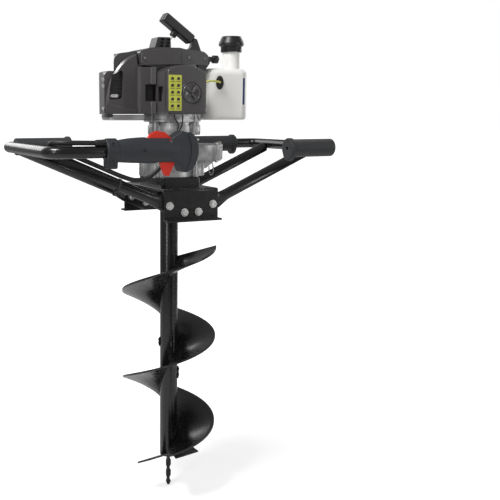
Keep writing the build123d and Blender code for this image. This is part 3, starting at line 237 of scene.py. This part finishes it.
FINISHES = {
    "black_paint": surface("black_paint", (0.004, 0.004, 0.0045), (0.007, 0.007, 0.0075),
                           0.27, 70, 0.012, coat=0.25, spread=0.04),
    "drill_steel": surface("drill_steel", (0.016, 0.015, 0.015), (0.05, 0.046, 0.042),
                           0.4, 180, 0.2, metal=0.5),
    "zinc": surface("zinc", (0.66, 0.66, 0.65), (0.84, 0.84, 0.82), 0.3, 240, 0.08, metal=0.9),
    "gear_steel": surface("gear_steel", (0.3, 0.3, 0.31), (0.42, 0.42, 0.43), 0.34, 200, 0.1, metal=1.0),
    "cast_aluminium": surface("cast_aluminium", (0.35, 0.35, 0.355), (0.58, 0.58, 0.575), 0.42, 420, 0.5,
                              metal=0.9, patch=45),
    "friction_metal": surface("friction_metal", (0.22, 0.21, 0.2), (0.3, 0.29, 0.28),
                              0.5, 220, 0.3, metal=1.0),
    "grip_rubber": surface("grip_rubber", (0.016, 0.017, 0.019), (0.026, 0.027, 0.03),
                           0.6, 500, 0.35, sheen=0.1),
    "handle_plastic": surface("handle_plastic", (0.020, 0.023, 0.028), (0.027, 0.030, 0.036), 0.5, 620, 0.3),
    "black_rubber": surface("black_rubber", (0.008, 0.008, 0.009), (0.014, 0.014, 0.015), 0.62, 420, 0.3),
    "engine_plastic": surface("engine_plastic", (0.052, 0.048, 0.049), (0.066, 0.061, 0.062),
                              0.33, 700, 0.12, coat=0.4),
    "black_plastic": surface("black_plastic", (0.010, 0.010, 0.011), (0.018, 0.018, 0.019), 0.38, 520, 0.2),
    "cable_sleeve": surface("cable_sleeve", (0.010, 0.010, 0.011), (0.018, 0.018, 0.02), 0.5, 380, 0.35),
    "red_plastic": surface("red_plastic", (0.68, 0.016, 0.003), (0.78, 0.026, 0.006), 0.4, 500, 0.12),
    "tank_plastic": surface("tank_plastic", (0.90, 0.89, 0.86), (0.95, 0.945, 0.92), 0.36, 240, 0.1),
    "muffler_black": surface("muffler_black", (0.014, 0.012, 0.011), (0.04, 0.034, 0.03),
                             0.62, 260, 0.5, metal=0.4),
    "tin_plate": surface("tin_plate", (0.5, 0.5, 0.5), (0.68, 0.68, 0.68), 0.4, 200, 0.15, metal=0.9),
    "spring_steel": surface("spring_steel", (0.28, 0.28, 0.3), (0.4, 0.4, 0.43), 0.3, 220, 0.1, metal=1.0),
    "rope_cord": surface("rope_cord", (0.55, 0.52, 0.45), (0.72, 0.68, 0.6), 0.8, 900, 0.8, sheen=0.2),
    "filter_foam": surface("filter_foam", (0.05, 0.05, 0.05), (0.11, 0.11, 0.11), 0.9, 700, 1.0),
    "fuel_hose": surface("fuel_hose", (0.55, 0.60, 0.12), (0.66, 0.70, 0.2), 0.3, 260, 0.08, subsurface=0.2),
}

# corner rounding of the kept CAD nodes, in millimetres
ROUNDING = {
    "black_paint": 0.8,
    "zinc": 0.5,
    "cast_aluminium": 1.0,
    "grip_rubber": 1.2,
    "handle_plastic": 1.5,
    "black_rubber": 0.8,
    "engine_plastic": 2.0,
    "black_plastic": 0.9,
    "red_plastic": 1.6,
    "tin_plate": 0.8,
    "muffler_black": 1.0,
}


# only edges sharper than these angles are rounded, on CAD nodes and on new pieces
NODE_EDGE = radians(38)
PIECE_EDGE = radians(32)
WELD_GAP = 0.00001


def round_edges(piece, width, segments, sharper_than):
    bevel = piece.modifiers.new("round", "BEVEL")
    bevel.width = width * MM
    bevel.segments = segments
    bevel.limit_method = "ANGLE"
    bevel.angle_limit = sharper_than
    bevel.harden_normals = True


def dress_node(name, slot):
    """The slot's finish, and edges rounded by a bevel."""
    node = NODES[name]
    node.data.materials.clear()
    node.data.materials.append(FINISHES[slot])
    if slot in ROUNDING:
        weld = node.modifiers.new("weld", "WELD")
        weld.merge_threshold = WELD_GAP
        round_edges(node, ROUNDING[slot], 2, NODE_EDGE)


for part in frame["record"]["subparts"]:
    dress_node(part["node"], part["material_slot"])

# ---------------------------------------------------------------- mesh tools

SMOOTH_ANGLE = radians(35)


def rounded(corners, radius, steps=5):
    """Closed 2-D outline with every corner turned into an arc of at most that radius."""
    outline = []
    count = len(corners)
    for index in range(count):
        before = Vector(corners[index - 1])
        corner = Vector(corners[index])
        after = Vector(corners[(index + 1) % count])
        leg_in = before - corner
        leg_out = after - corner
        reach = min(radius, leg_in.length * 0.45, leg_out.length * 0.45)
        start = corner + leg_in.normalized() * reach
        stop = corner + leg_out.normalized() * reach
        for step in range(steps + 1):
            part = step / steps
            outline.append(start * (1 - part) ** 2 + corner * 2 * part * (1 - part) + stop * part ** 2)
    return outline


def object_of(name, bm):
    """Mesh object made from a bmesh in millimetres."""
    bmesh.ops.recalc_face_normals(bm, faces=bm.faces)
    bmesh.ops.scale(bm, vec=(MM, MM, MM), verts=bm.verts)
    mesh = bpy.data.meshes.new(name)
    bm.to_mesh(mesh)
    bm.free()
    piece = bpy.data.objects.new(name, mesh)
    bpy.context.scene.collection.objects.link(piece)
    return piece


def lay(axis, a, b, along):
    """Point from two coordinates across an axis and one along it."""
    return {"X": (along, a, b), "Y": (a, along, b), "Z": (a, b, along)}[axis]


def skin(bm, rings, hollow=False):
    """Faces between each ring of points and the next, and a cap on each end.

    A hollow body's last ring is joined back to its first, so it has a hole and no caps.
    """
    around = rings[1:] + rings[:1] if hollow else rings[1:]
    count = len(rings[0])
    for first, second in zip(rings, around):
        for index in range(count):
            follow = (index + 1) % count
            bm.faces.new((first[index], first[follow], second[follow], second[index]))
    if not hollow:
        bm.faces.new(rings[0])
        bm.faces.new(rings[-1])


def prism_mesh(bm, outline, low, high, axis, shrink_low=1.0, shrink_high=1.0):
    """Closed prism of an outline between two planes. Either end can be shrunk."""
    centre_a = sum(point[0] for point in outline) / len(outline)
    centre_b = sum(point[1] for point in outline) / len(outline)
    rings = []
    for along, shrink in ((low, shrink_low), (high, shrink_high)):
        ring = []
        for a, b in outline:
            a = centre_a + (a - centre_a) * shrink
            b = centre_b + (b - centre_b) * shrink
            ring.append(bm.verts.new(lay(axis, a, b, along)))
        rings.append(ring)
    skin(bm, rings)


def prism(name, outline, low, high, axis, **shrinks):
    bm = bmesh.new()
    prism_mesh(bm, outline, low, high, axis, **shrinks)
    return object_of(name, bm)


def lathe_mesh(bm, profile, centre, axis, segments=48, stretch=(1.0, 1.0), hollow=False):
    """Closed body of revolution. The profile is (radius, distance along the axis)."""
    rings = []
    for radius, along in profile:
        ring = []
        for index in range(segments):
            angle = 2 * pi * index / segments
            a = radius * cos(angle) * stretch[0]
            b = radius * sin(angle) * stretch[1]
            ring.append(bm.verts.new(Vector(lay(axis, a, b, along)) + Vector(centre)))
        rings.append(ring)
    skin(bm, rings, hollow)


def lathe(name, profile, centre, axis, **options):
    bm = bmesh.new()
    lathe_mesh(bm, profile, centre, axis, **options)
    return object_of(name, bm)


def settle(piece):
    """Applies the piece's modifiers."""
    graph = bpy.context.evaluated_depsgraph_get()
    mesh = bpy.data.meshes.new_from_object(piece.evaluated_get(graph))
    piece.modifiers.clear()
    piece.data = mesh


def carve(piece, cutter):
    """Cuts the cutter's shape out of the piece."""
    cut = piece.modifiers.new("cut", "BOOLEAN")
    cut.object = cutter
    cut.solver = "EXACT"
    settle(piece)
    bpy.data.objects.remove(cutter)


def fit(piece, slot, body="machine", round_by=0.0, segments=3, replaced=(), material=None):
    """Finish, soft edges and body of a new piece."""
    piece.data.materials.clear()
    piece.data.materials.append(material or FINISHES[slot])
    piece.data.polygons.foreach_set("use_smooth", [True] * len(piece.data.polygons))
    piece.data.set_sharp_from_angle(angle=SMOOTH_ANGLE)
    if round_by:
        round_edges(piece, round_by, segments, PIECE_EDGE)
    if replaced:
        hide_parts(*replaced)
    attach(piece, body)
    return piece


def box(left, right, low, high):
    """Outline of an upright rectangle."""
    return (left, low), (right, low), (right, high), (left, high)


def screw(name, place, facing, radius=3.4, slot="zinc"):
    """Pan head screw with a cross recess, its head facing the given way."""
    bm = bmesh.new()
    profile = ((radius, 0), (radius, 0.9), (radius * 0.86, 1.8), (radius * 0.5, 2.3), (radius * 0.3, 2.35))
    lathe_mesh(bm, profile, (0, 0, 0), "Z", segments=24)
    turn = Vector(facing).to_track_quat("Z", "Y").to_matrix().to_4x4()
    bmesh.ops.transform(bm, matrix=Matrix.Translation(place) @ turn, verts=bm.verts)
    head = object_of(name, bm)
    for spin in (0, pi / 2):
        arm = bmesh.new()
        prism_mesh(arm, box(-radius * 0.5, radius * 0.5, -0.35, 0.35), 1.2, 3, "Z")
        place_arm = Matrix.Translation(place) @ turn @ Matrix.Rotation(spin, 4, "Z")
        bmesh.ops.transform(arm, matrix=place_arm, verts=arm.verts)
        carve(head, object_of("arm", arm))
    return fit(head, slot)


# ---------------------------------------------------------------- engine cover

SHROUD_FRONT = -42
SHROUD_BACK = 47.5

# rear half of the cover: lower block at the left, then the raised body
shroud_rear = prism(
    "shroud_rear",
    rounded(
        ((-47.5, 813.5), (-159.5, 813.5), (-159.5, 884), (-150, 894), (-139, 899), (-134, 922),
         (-124, 930), (-86, 935.5), (-86, 907), (-47.5, 907)), 4,
    ),
    -34, SHROUD_BACK, "Y",
)
side_cut = prism("side_cut", ((-170, -44), (-158, -44), (-135, 50), (-170, 50)), 780, 960, "Z")
carve(shroud_rear, side_cut)
upper_cut = prism("upper_cut", ((-175, -44), (-140, -44), (-101, 50), (-175, 50)), 896, 960, "Z")
carve(shroud_rear, upper_cut)
carve(shroud_rear, prism("hollow", ((-128, -30), (-49, -30), (-49, 44), (-128, 44)), 800, 902, "Z"))
fit(shroud_rear, "engine_plastic", round_by=2.4, replaced=("engine_shroud",))

# front panel, with its curved left edge and a window for the cooling air
PANEL = (
    (-47.5, 813.5), (-155, 813.5), (-153.5, 845), (-147, 874), (-137, 893), (-126, 908),
    (-112, 921), (-88, 932), (-86, 907), (-47.5, 907),
)
shroud_panel = prism("shroud_panel", rounded(PANEL, 9), SHROUD_FRONT, -31, "Y")
chamfer = shroud_panel.modifiers.new("chamfer", "BEVEL")
chamfer.width = 7.5 * MM
chamfer.segments = 1
chamfer.limit_method = "ANGLE"
chamfer.angle_limit = radians(60)
settle(shroud_panel)
WINDOW_SHADE_Y = -36.2
WINDOW = ((-141, 888), (-121, 898), (-119, 888), (-121.5, 843), (-148, 841), (-147, 862))
carve(shroud_panel, prism("window", rounded(WINDOW, 4), -50, -36, "Y"))
fit(shroud_panel, "engine_plastic", round_by=0.9, segments=2)
# black plate in the window's recess: painted shade standing in for the dark inside of the cooling air window
window_shade_plate = prism("window_shade_plate", rounded(WINDOW, 4), WINDOW_SHADE_Y, WINDOW_SHADE_Y + 0.5, "Y")
fit(window_shade_plate, "black_plastic")
bm = bmesh.new()
for slat_z in (850, 857, 864, 871, 878):
    slat_left = -146 + (slat_z - 841) * 0.13
    prism_mesh(bm, ((-39.2, slat_z), (-36.4, slat_z), (-36.4, slat_z + 2.2), (-38.4, slat_z + 2.2)),
               slat_left, -122, "X")
fit(object_of("window_louvres", bm), "black_plastic", round_by=0.3, segments=2)
bm = bmesh.new()
CLIP_PLATE = ((-146, 846), (-132, 845), (-128, 848.5), (-132, 852), (-145, 851))
prism_mesh(bm, rounded(CLIP_PLATE, 2), -40.5, -38.9, "Y")
fit(object_of("window_clip", bm), "zinc", round_by=0.4, segments=2)

# lower rib of the panel
LOWER_RIB = ((-156, 813.6), (-90, 813.6), (-88, 822), (-112, 824), (-136, 831), (-156, 836))
shroud_rib = prism("shroud_rib", rounded(LOWER_RIB, 3), -43.8, -41, "Y")
fit(shroud_rib, "engine_plastic", round_by=1.4)

for index, screw_z in enumerate((879, 867, 824)):
    screw(f"shroud_screw_{index}", (-157, -33, screw_z), (-0.97, -0.24, 0))

# raised intake panel between the cover and the air filter, with its opening; a black plate in the opening is
# painted shade standing in for the dark inside of the intake
DUCT = ((-90, -41.8), (-88, -50), (-66, -55), (-59, -65.5), (-59, -36), (-90, -36))
intake_duct = prism("intake_duct", rounded(DUCT, 2), 814, 904, "Z")
carve(intake_duct, prism("opening", rounded(box(-77, -50, 838.5, 871), 2), -70, -47, "Y"))
fit(intake_duct, "engine_plastic", round_by=1.6)
# black plate in the opening's recess: painted shade
OPENING_SHADE_OUTLINE = ((-77, -47.4), (-59.4, -49.4), (-59.4, -46), (-77, -46))
opening_shade_plate = prism("opening_shade_plate", OPENING_SHADE_OUTLINE, 838, 871.4, "Z")
fit(opening_shade_plate, "black_plastic")

# ---------------------------------------------------------------- starter

STARTER_OUTLINE = (
    (-84.5, 908.3), (-84.5, 934), (-60, 942.5), (4, 943.7), (12, 941.5), (56, 938), (67, 930),
    (66, 911), (11, 911), (8, 908.3),
)
starter_housing = prism("starter_housing", rounded(STARTER_OUTLINE, 5), -43.7, 53.5, "Y")
carve(starter_housing, lathe("reel_room", ((41.5, 900), (41.5, 938)), (0, 0, 0), "Z"))
carve(starter_housing, prism("rope_way", box(-12, 0, -4, 4), 930, 950, "Z"))
fit(starter_housing, "engine_plastic", round_by=4.0, segments=4, replaced=("starter_cover",))
# the left part of the front wall stands proud, with a flange below it
starter_step = prism(
    "starter_step", rounded(((-83, 909), (-83, 930), (-60, 938.5), (3, 939), (3, 912), (-20, 909)), 4),
    -46.5, -42, "Y",
)
fit(starter_step, "engine_plastic", round_by=1.6)
STARTER_LIP = ((-85.5, 907), (6, 911), (6, 914), (-85.5, 910))
starter_lip = prism("starter_lip", rounded(STARTER_LIP, 1), -49, -43, "Y")
fit(starter_lip, "engine_plastic", round_by=0.8)
for index, (screw_x, screw_z) in enumerate(((-76, 921), (22, 925), (58, 923))):
    screw(f"starter_screw_{index}", (screw_x, -46.5 if screw_x < 0 else -43.7, screw_z), (0, -1, 0), 2.8,
          "gear_steel")
# small black bracket under the switch
switch_bracket = prism("switch_bracket", rounded(((44, 912), (72, 930), (72, 916), (60, 900), (44, 898)), 3),
                       -41, -33, "Y")
fit(switch_bracket, "black_plastic", round_by=0.8)

# louvred box over the reel, with a rope eye beside it
GUIDE_BOX = ((-40, 943.4), (-33, 965.5), (-5, 965.8), (-4, 943.4))
guide_box = prism("guide_box", rounded(GUIDE_BOX, 2.5), -15.5, 15.5, "Y")
for slot_row in range(3):
    for slot_column in range(2):
        slot_x = -31 + slot_column * 13 + slot_row * 1.2
        slot_z = 946.5 + slot_row * 6.2
        carve(guide_box, prism("vent", ((slot_x, slot_z), (slot_x + 9, slot_z), (slot_x + 9.6, slot_z + 4),
                                        (slot_x + 1, slot_z + 4)), -18, -11, "Y"))
fit(guide_box, "black_plastic", round_by=0.7, segments=2, replaced=("rope_guide",))
handle_rest = prism("handle_rest", rounded(((40, 942), (70, 940), (60, 965), (53, 967.5), (46.5, 949)), 2.5),
                    -6, 6, "Y")
fit(handle_rest, "black_plastic", round_by=1.0)
# rope eye on top of the housing
rope_eye = lathe("rope_eye", ((9, -3), (9, 3), (7.5, 6), (5, 7), (4.2, 6)), (-11, 0, 944), "Z", segments=36)
fit(rope_eye, "black_plastic", round_by=0.6)
# black block behind the top of the air filter: painted shade filling the dark gap between the filter and the
# starter housing
GAP_SHADE_OUTLINE = ((-62, 894), (8, 894), (20, 907), (-62, 907))
gap_shade_block = prism("gap_shade_block", rounded(GAP_SHADE_OUTLINE, 3), -57, -44.5, "Y")
fit(gap_shade_block, "black_plastic", round_by=1.0)

# bright sheet under the cylinder, and the dark skirt round it
TIN_OUTLINE = ((-146, -32), (-128, -38), (-92, -38), (-60, -30), (-56, 20), (-100, 37), (-140, 34))
lower_sheet = prism("lower_sheet", rounded(TIN_OUTLINE, 12), 801.5, 812.2, "Z", shrink_low=0.93)
fit(lower_sheet, "tin_plate", round_by=2.0, replaced=("lower_tin",))
SKIRT = ((-160, -30), (-155, -39), (-140, -40), (-139, -33), (-146, -26), (-150, 20), (-158, 20))
shroud_skirt = prism("shroud_skirt", rounded(SKIRT, 3), 807, 814.5, "Z", shrink_low=0.97)
carve(shroud_skirt, prism("side_cut", ((-175, -44), (-158.5, -44), (-135.5, 50), (-175, 50)), 780, 960, "Z"))
fit(shroud_skirt, "engine_plastic", round_by=0.8)

# ---------------------------------------------------------------- air filter

FILTER_FRONT = -115.0
LABEL_LEFT, LABEL_RIGHT = -56, -29
LABEL_LOW, LABEL_HIGH = 820, 887
label_yellow = surface("label_yellow", (0.56, 0.58, 0.06), (0.64, 0.66, 0.09), 0.42, 300, 0.08, patch=40)
label_outline = rounded(box(LABEL_LEFT, LABEL_RIGHT, LABEL_LOW, LABEL_HIGH), 1.2)
label_plate = prism("label_plate", label_outline, FILTER_FRONT - 0.5, FILTER_FRONT + 0.3, "Y")
fit(label_plate, "engine_plastic", material=label_yellow)
# plain blocks in two columns, in place of a label's marks
bm = bmesh.new()
for row in range(5):
    for column in range(2):
        block_x = LABEL_LEFT + 2.6 + column * 12.6
        block_z = LABEL_LOW + 3 + row * 12.8
        prism_mesh(bm, rounded(((block_x + 1, block_z + 3.4), (block_x + 8, block_z + 3.4),
                                (block_x + 8, block_z + 8.4), (block_x + 3, block_z + 9.2)), 2),
                   FILTER_FRONT - 0.75, FILTER_FRONT - 0.4, "Y")
        prism_mesh(bm, rounded(box(block_x, block_x + 9.6, block_z, block_z + 1), 0.4),
                   FILTER_FRONT - 0.7, FILTER_FRONT - 0.4, "Y")
fit(object_of("label_blocks", bm), "black_plastic")

KNOB_X, KNOB_Z, KNOB_R = -8, 853, 19.3
# knob: a dished disc with a rim, and four ribs that make a cross
filter_dial = lathe(
    "filter_dial",
    ((4, -60), (4, -112.6), (KNOB_R, -112.7), (KNOB_R, -116.4), (KNOB_R - 0.8, -117.3),
     (KNOB_R - 2.6, -117.4), (KNOB_R - 3.6, -116), (8, -114.2)),
    (KNOB_X, 0, KNOB_Z), "Y", segments=72,
)
fit(filter_dial, "engine_plastic", body="knob", round_by=0.3, segments=2, replaced=("filter_knob",))
for quarter in range(4):
    bm = bmesh.new()
    rib = rounded(((0, -1.6), (8, -3.2), (17.6, -5.4), (18.6, 0), (17.6, 5.4), (8, 3.2), (0, 1.6)), 1.5)
    prism_mesh(bm, rib, 113.6, 117.5, "Z", shrink_high=0.82)
    turn = Matrix.Rotation(radians(90), 4, "X") @ Matrix.Rotation(radians(45 + 90 * quarter), 4, "Z")
    bmesh.ops.transform(bm, matrix=Matrix.Translation((KNOB_X, 0, KNOB_Z)) @ turn, verts=bm.verts)
    fit(object_of(f"dial_rib_{quarter}", bm), "engine_plastic", body="knob", round_by=0.7)
# joint between the filter's cover and its base
filter_seam = prism("filter_seam", box(-58.35, -57.6, -106, -104.6), 816, 893, "Z")
fit(filter_seam, "black_plastic")
# ring round the knob
dial_ring = lathe(
    "dial_ring",
    ((KNOB_R + 1.2, -113), (KNOB_R + 1.2, -115.6), (KNOB_R + 2.4, -115.9),
     (KNOB_R + 3.2, -115.2), (KNOB_R + 3.2, -113)),
    (KNOB_X, 0, KNOB_Z), "Y", segments=72, hollow=True,
)
fit(dial_ring, "engine_plastic")

# ---------------------------------------------------------------- fuel

GROMMET = (92, -45, 877)
grommet = lathe(
    "tank_grommet",
    ((4.6, 6), (4.6, 0), (8.6, -0.2), (9, -1.2), (8.4, -2.4), (6.6, -3), (4.4, -2.6), (3.2, -1.6)),
    GROMMET, "Y", stretch=(1.0, 1.55), segments=40,
)
fit(grommet, "black_rubber", round_by=0.3, segments=2, replaced=("fuel_line",))


def smooth_route(corners, pieces=10):
    """Points of a curve through the corners."""
    corners = [Vector(corner) for corner in corners]
    padded = [2 * corners[0] - corners[1]] + corners + [2 * corners[-1] - corners[-2]]
    route = []
    for index in range(1, len(padded) - 2):
        a, b, c, d = padded[index - 1:index + 3]
        for step in range(pieces):
            t = step / pieces
            route.append(0.5 * (2 * b + (c - a) * t + (2 * a - 5 * b + 4 * c - d) * t * t
                                + (3 * b - a - 3 * c + d) * t ** 3))
    route.append(corners[-1])
    return route


def tube(name, corners, radius, segments=14, pieces=10):
    """Round bar or hose along a smooth curve."""
    route = smooth_route(corners, pieces)
    bm = bmesh.new()
    rings = []
    side = None
    for index, point in enumerate(route):
        ahead = (route[min(index + 1, len(route) - 1)] - route[max(index - 1, 0)]).normalized()
        if side is None:
            side = ahead.orthogonal().normalized()
        side = (side - ahead * side.dot(ahead)).normalized()
        other = ahead.cross(side)
        ring = []
        for step in range(segments):
            angle = 2 * pi * step / segments
            ring.append(bm.verts.new(point + (side * cos(angle) + other * sin(angle)) * radius))
        rings.append(ring)
    skin(bm, rings)
    return object_of(name, bm)


HOSE = ((92, -46, 877), (87, -53.5, 878), (66, -54, 879.5), (44, -52.5, 872), (24, -50.5, 862), (7, -50, 860))
fit(tube("fuel_hose", HOSE, 2.0), "fuel_hose")

# level strip on the tank's rounded corner
TANK_CORNER = (142, -21)
CORNER_R = 24
strip_blue = surface("strip_blue", (0.035, 0.045, 0.16), (0.05, 0.065, 0.21), 0.4, 300, 0.1)
for name, first, last, low, high, proud, finish in (
    ("level_strip", 8, 30, 829, 891, 0.5, None),
    ("level_window", 12, 26, 833, 887, 0.8, strip_blue),
):
    arc_out = []
    arc_in = []
    for step in range(7):
        angle = radians(first + (last - first) * step / 6 - 90)
        for arc, radius in ((arc_out, CORNER_R + proud), (arc_in, CORNER_R - 0.6)):
            arc.append((TANK_CORNER[0] + radius * cos(angle), TANK_CORNER[1] + radius * sin(angle)))
    fit(prism(name, arc_out + arc_in[::-1], low, high, "Z"), "tank_plastic", material=finish)

# ---------------------------------------------------------------- throttle handle

# metres, in the frame
HANDLE_VOXEL = 0.0014
COLLAR_START = -0.15
COLLAR_DRAW = 0.76

handle_mesh = bmesh.new()
for shell in ("handle_shell_front", "handle_shell_rear"):
    handle_mesh.from_mesh(NODES[shell].data)
bmesh.ops.remove_doubles(handle_mesh, verts=handle_mesh.verts, dist=WELD_GAP)
throttle_handle = bpy.data.objects.new("throttle_handle", bpy.data.meshes.new("throttle_handle"))
handle_mesh.to_mesh(throttle_handle.data)
handle_mesh.free()
bpy.context.scene.collection.objects.link(throttle_handle)
remesh = throttle_handle.modifiers.new("remesh", "REMESH")
remesh.mode = "VOXEL"
remesh.voxel_size = HANDLE_VOXEL
soften = throttle_handle.modifiers.new("soften", "SMOOTH")
soften.factor = 0.6
soften.iterations = 14
settle(throttle_handle)
# the clamp collar is drawn in along the arm, towards the barrel
for vertex in throttle_handle.data.vertices:
    if vertex.co.x < COLLAR_START:
        vertex.co.x = COLLAR_START + (vertex.co.x - COLLAR_START) * COLLAR_DRAW
fit(throttle_handle, "handle_plastic", replaced=("handle_shell_front", "handle_shell_rear"))
for index, place in enumerate((
    (-34, -165.2, 722), (-191, -167.4, 762), (-191, -167.4, 731), (-128, -167.4, 748),
)):
    screw(f"handle_screw_{index}", place, (0, -1, 0), 2.6, "black_plastic")

# raised rim round the outer edge of the head
RIM = ((-41, 781), (-30, 779), (-21, 768), (-17.5, 752), (-18, 738), (-24, 720), (-33, 708.5), (-44, 708),
       (-36, 722), (-33, 740), (-33, 756), (-37, 770))
head_rim = prism("head_rim", rounded(RIM, 4), -168, -163, "Y", shrink_low=0.96)
fit(head_rim, "handle_plastic", round_by=1.6, segments=3)
# sleeve that leads the conduit into the collar
BOOT_PROFILE = ((4.7, -219), (6, -217.5), (6.4, -205), (7.2, -198), (7.2, -192))
boot = lathe("conduit_boot", BOOT_PROFILE, (0, -150, 762.3), "X", segments=32)
fit(boot, "black_rubber", round_by=0.4, segments=2)

# ---------------------------------------------------------------- gearbox and clutch

FAN_CENTRE = (4, -3, 0)
FRONT_FLAT = box(-80, 80, -75, -57.5)
LUG_REACH = 55.5
# case with flanges and shallow ribs, turned as a stack of rings
case_profile = [(54, 798.2), (58, 798.4), (58, 803), (55.5, 804), (55.5, 810), (57.5, 810.8), (57.5, 814.2),
                (55.5, 815), (55.5, 822), (57.6, 823), (57.6, 827), (55.8, 828), (55.8, 835.5), (52, 836)]
fan_housing = lathe("fan_housing", case_profile, FAN_CENTRE, "Z", segments=96)
carve(fan_housing, lathe("fan_room", ((50.5, 790), (50.5, 840)), (0, 0, 0), "Z", segments=72))
carve(fan_housing, prism("front_flat", FRONT_FLAT, 790, 840, "Z"))
fit(fan_housing, "cast_aluminium", round_by=0.6, segments=2, replaced=("fan_case",))
bm = bmesh.new()
for turn in (200, 232, 302, 330, 0):
    angle = radians(turn)
    lug = (FAN_CENTRE[0] + LUG_REACH * cos(angle), FAN_CENTRE[1] + LUG_REACH * sin(angle), 0)
    lathe_mesh(bm, ((4.2, 799), (4.2, 834)), lug, "Z", segments=20)
case_lugs = object_of("case_lugs", bm)
carve(case_lugs, prism("front_flat", FRONT_FLAT, 790, 840, "Z"))
fit(case_lugs, "cast_aluminium", round_by=0.8, segments=2)

# wire clip under the gearbox's arm
CLIP = ((68, -58, 717), (71, -59.5, 710), (71, -60, 695), (67, -59.5, 691), (63, -59, 695), (63, -57.5, 708))
fit(tube("wire_clip", CLIP, 1.2), "gear_steel")

# weld beads where the flight meets the tube
TUBE_R = 19
BLOB_PROFILE = ((0.6, -2.6), (2.2, -1.6), (2.8, 0), (2.0, 1.8), (0.6, 2.6))
for index, (bead_angle, bead_z) in enumerate(((158, 329), (160, 322), (-30, 262), (-35, 250), (-28, 156))):
    bm = bmesh.new()
    spin = radians(bead_angle)
    for blob in range(4):
        blob_z = bead_z + blob * 3.1
        reach = TUBE_R + 0.6 + 1.3 * ((blob * 7 + index * 3) % 3) / 2
        around = spin + blob * 0.05
        lathe_mesh(bm, BLOB_PROFILE, (reach * cos(around), reach * sin(around), blob_z), "Z", segments=12)
    fit(object_of(f"weld_bead_{index}", bm), "drill_steel", body="bit", round_by=0.3, segments=2)

# starter rope between the housing and the pull handle
PULL_LEAN = radians(35)
BAR_CENTRE = Vector((17, 0, 985))
PULL = Vector((sin(PULL_LEAN), 0, cos(PULL_LEAN)))
ROPE_INSIDE, ROPE_OUTSIDE = 62, 12
rope_line = [BAR_CENTRE - PULL * reach for reach in (ROPE_INSIDE, 45, 28, ROPE_OUTSIDE)]
pull_rope = tube("pull_rope", rope_line, 1.7, pieces=16)
pull_rope.data.materials.append(FINISHES["rope_cord"])
pull_rope.data.polygons.foreach_set("use_smooth", [True] * len(pull_rope.data.polygons))
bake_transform(pull_rope)
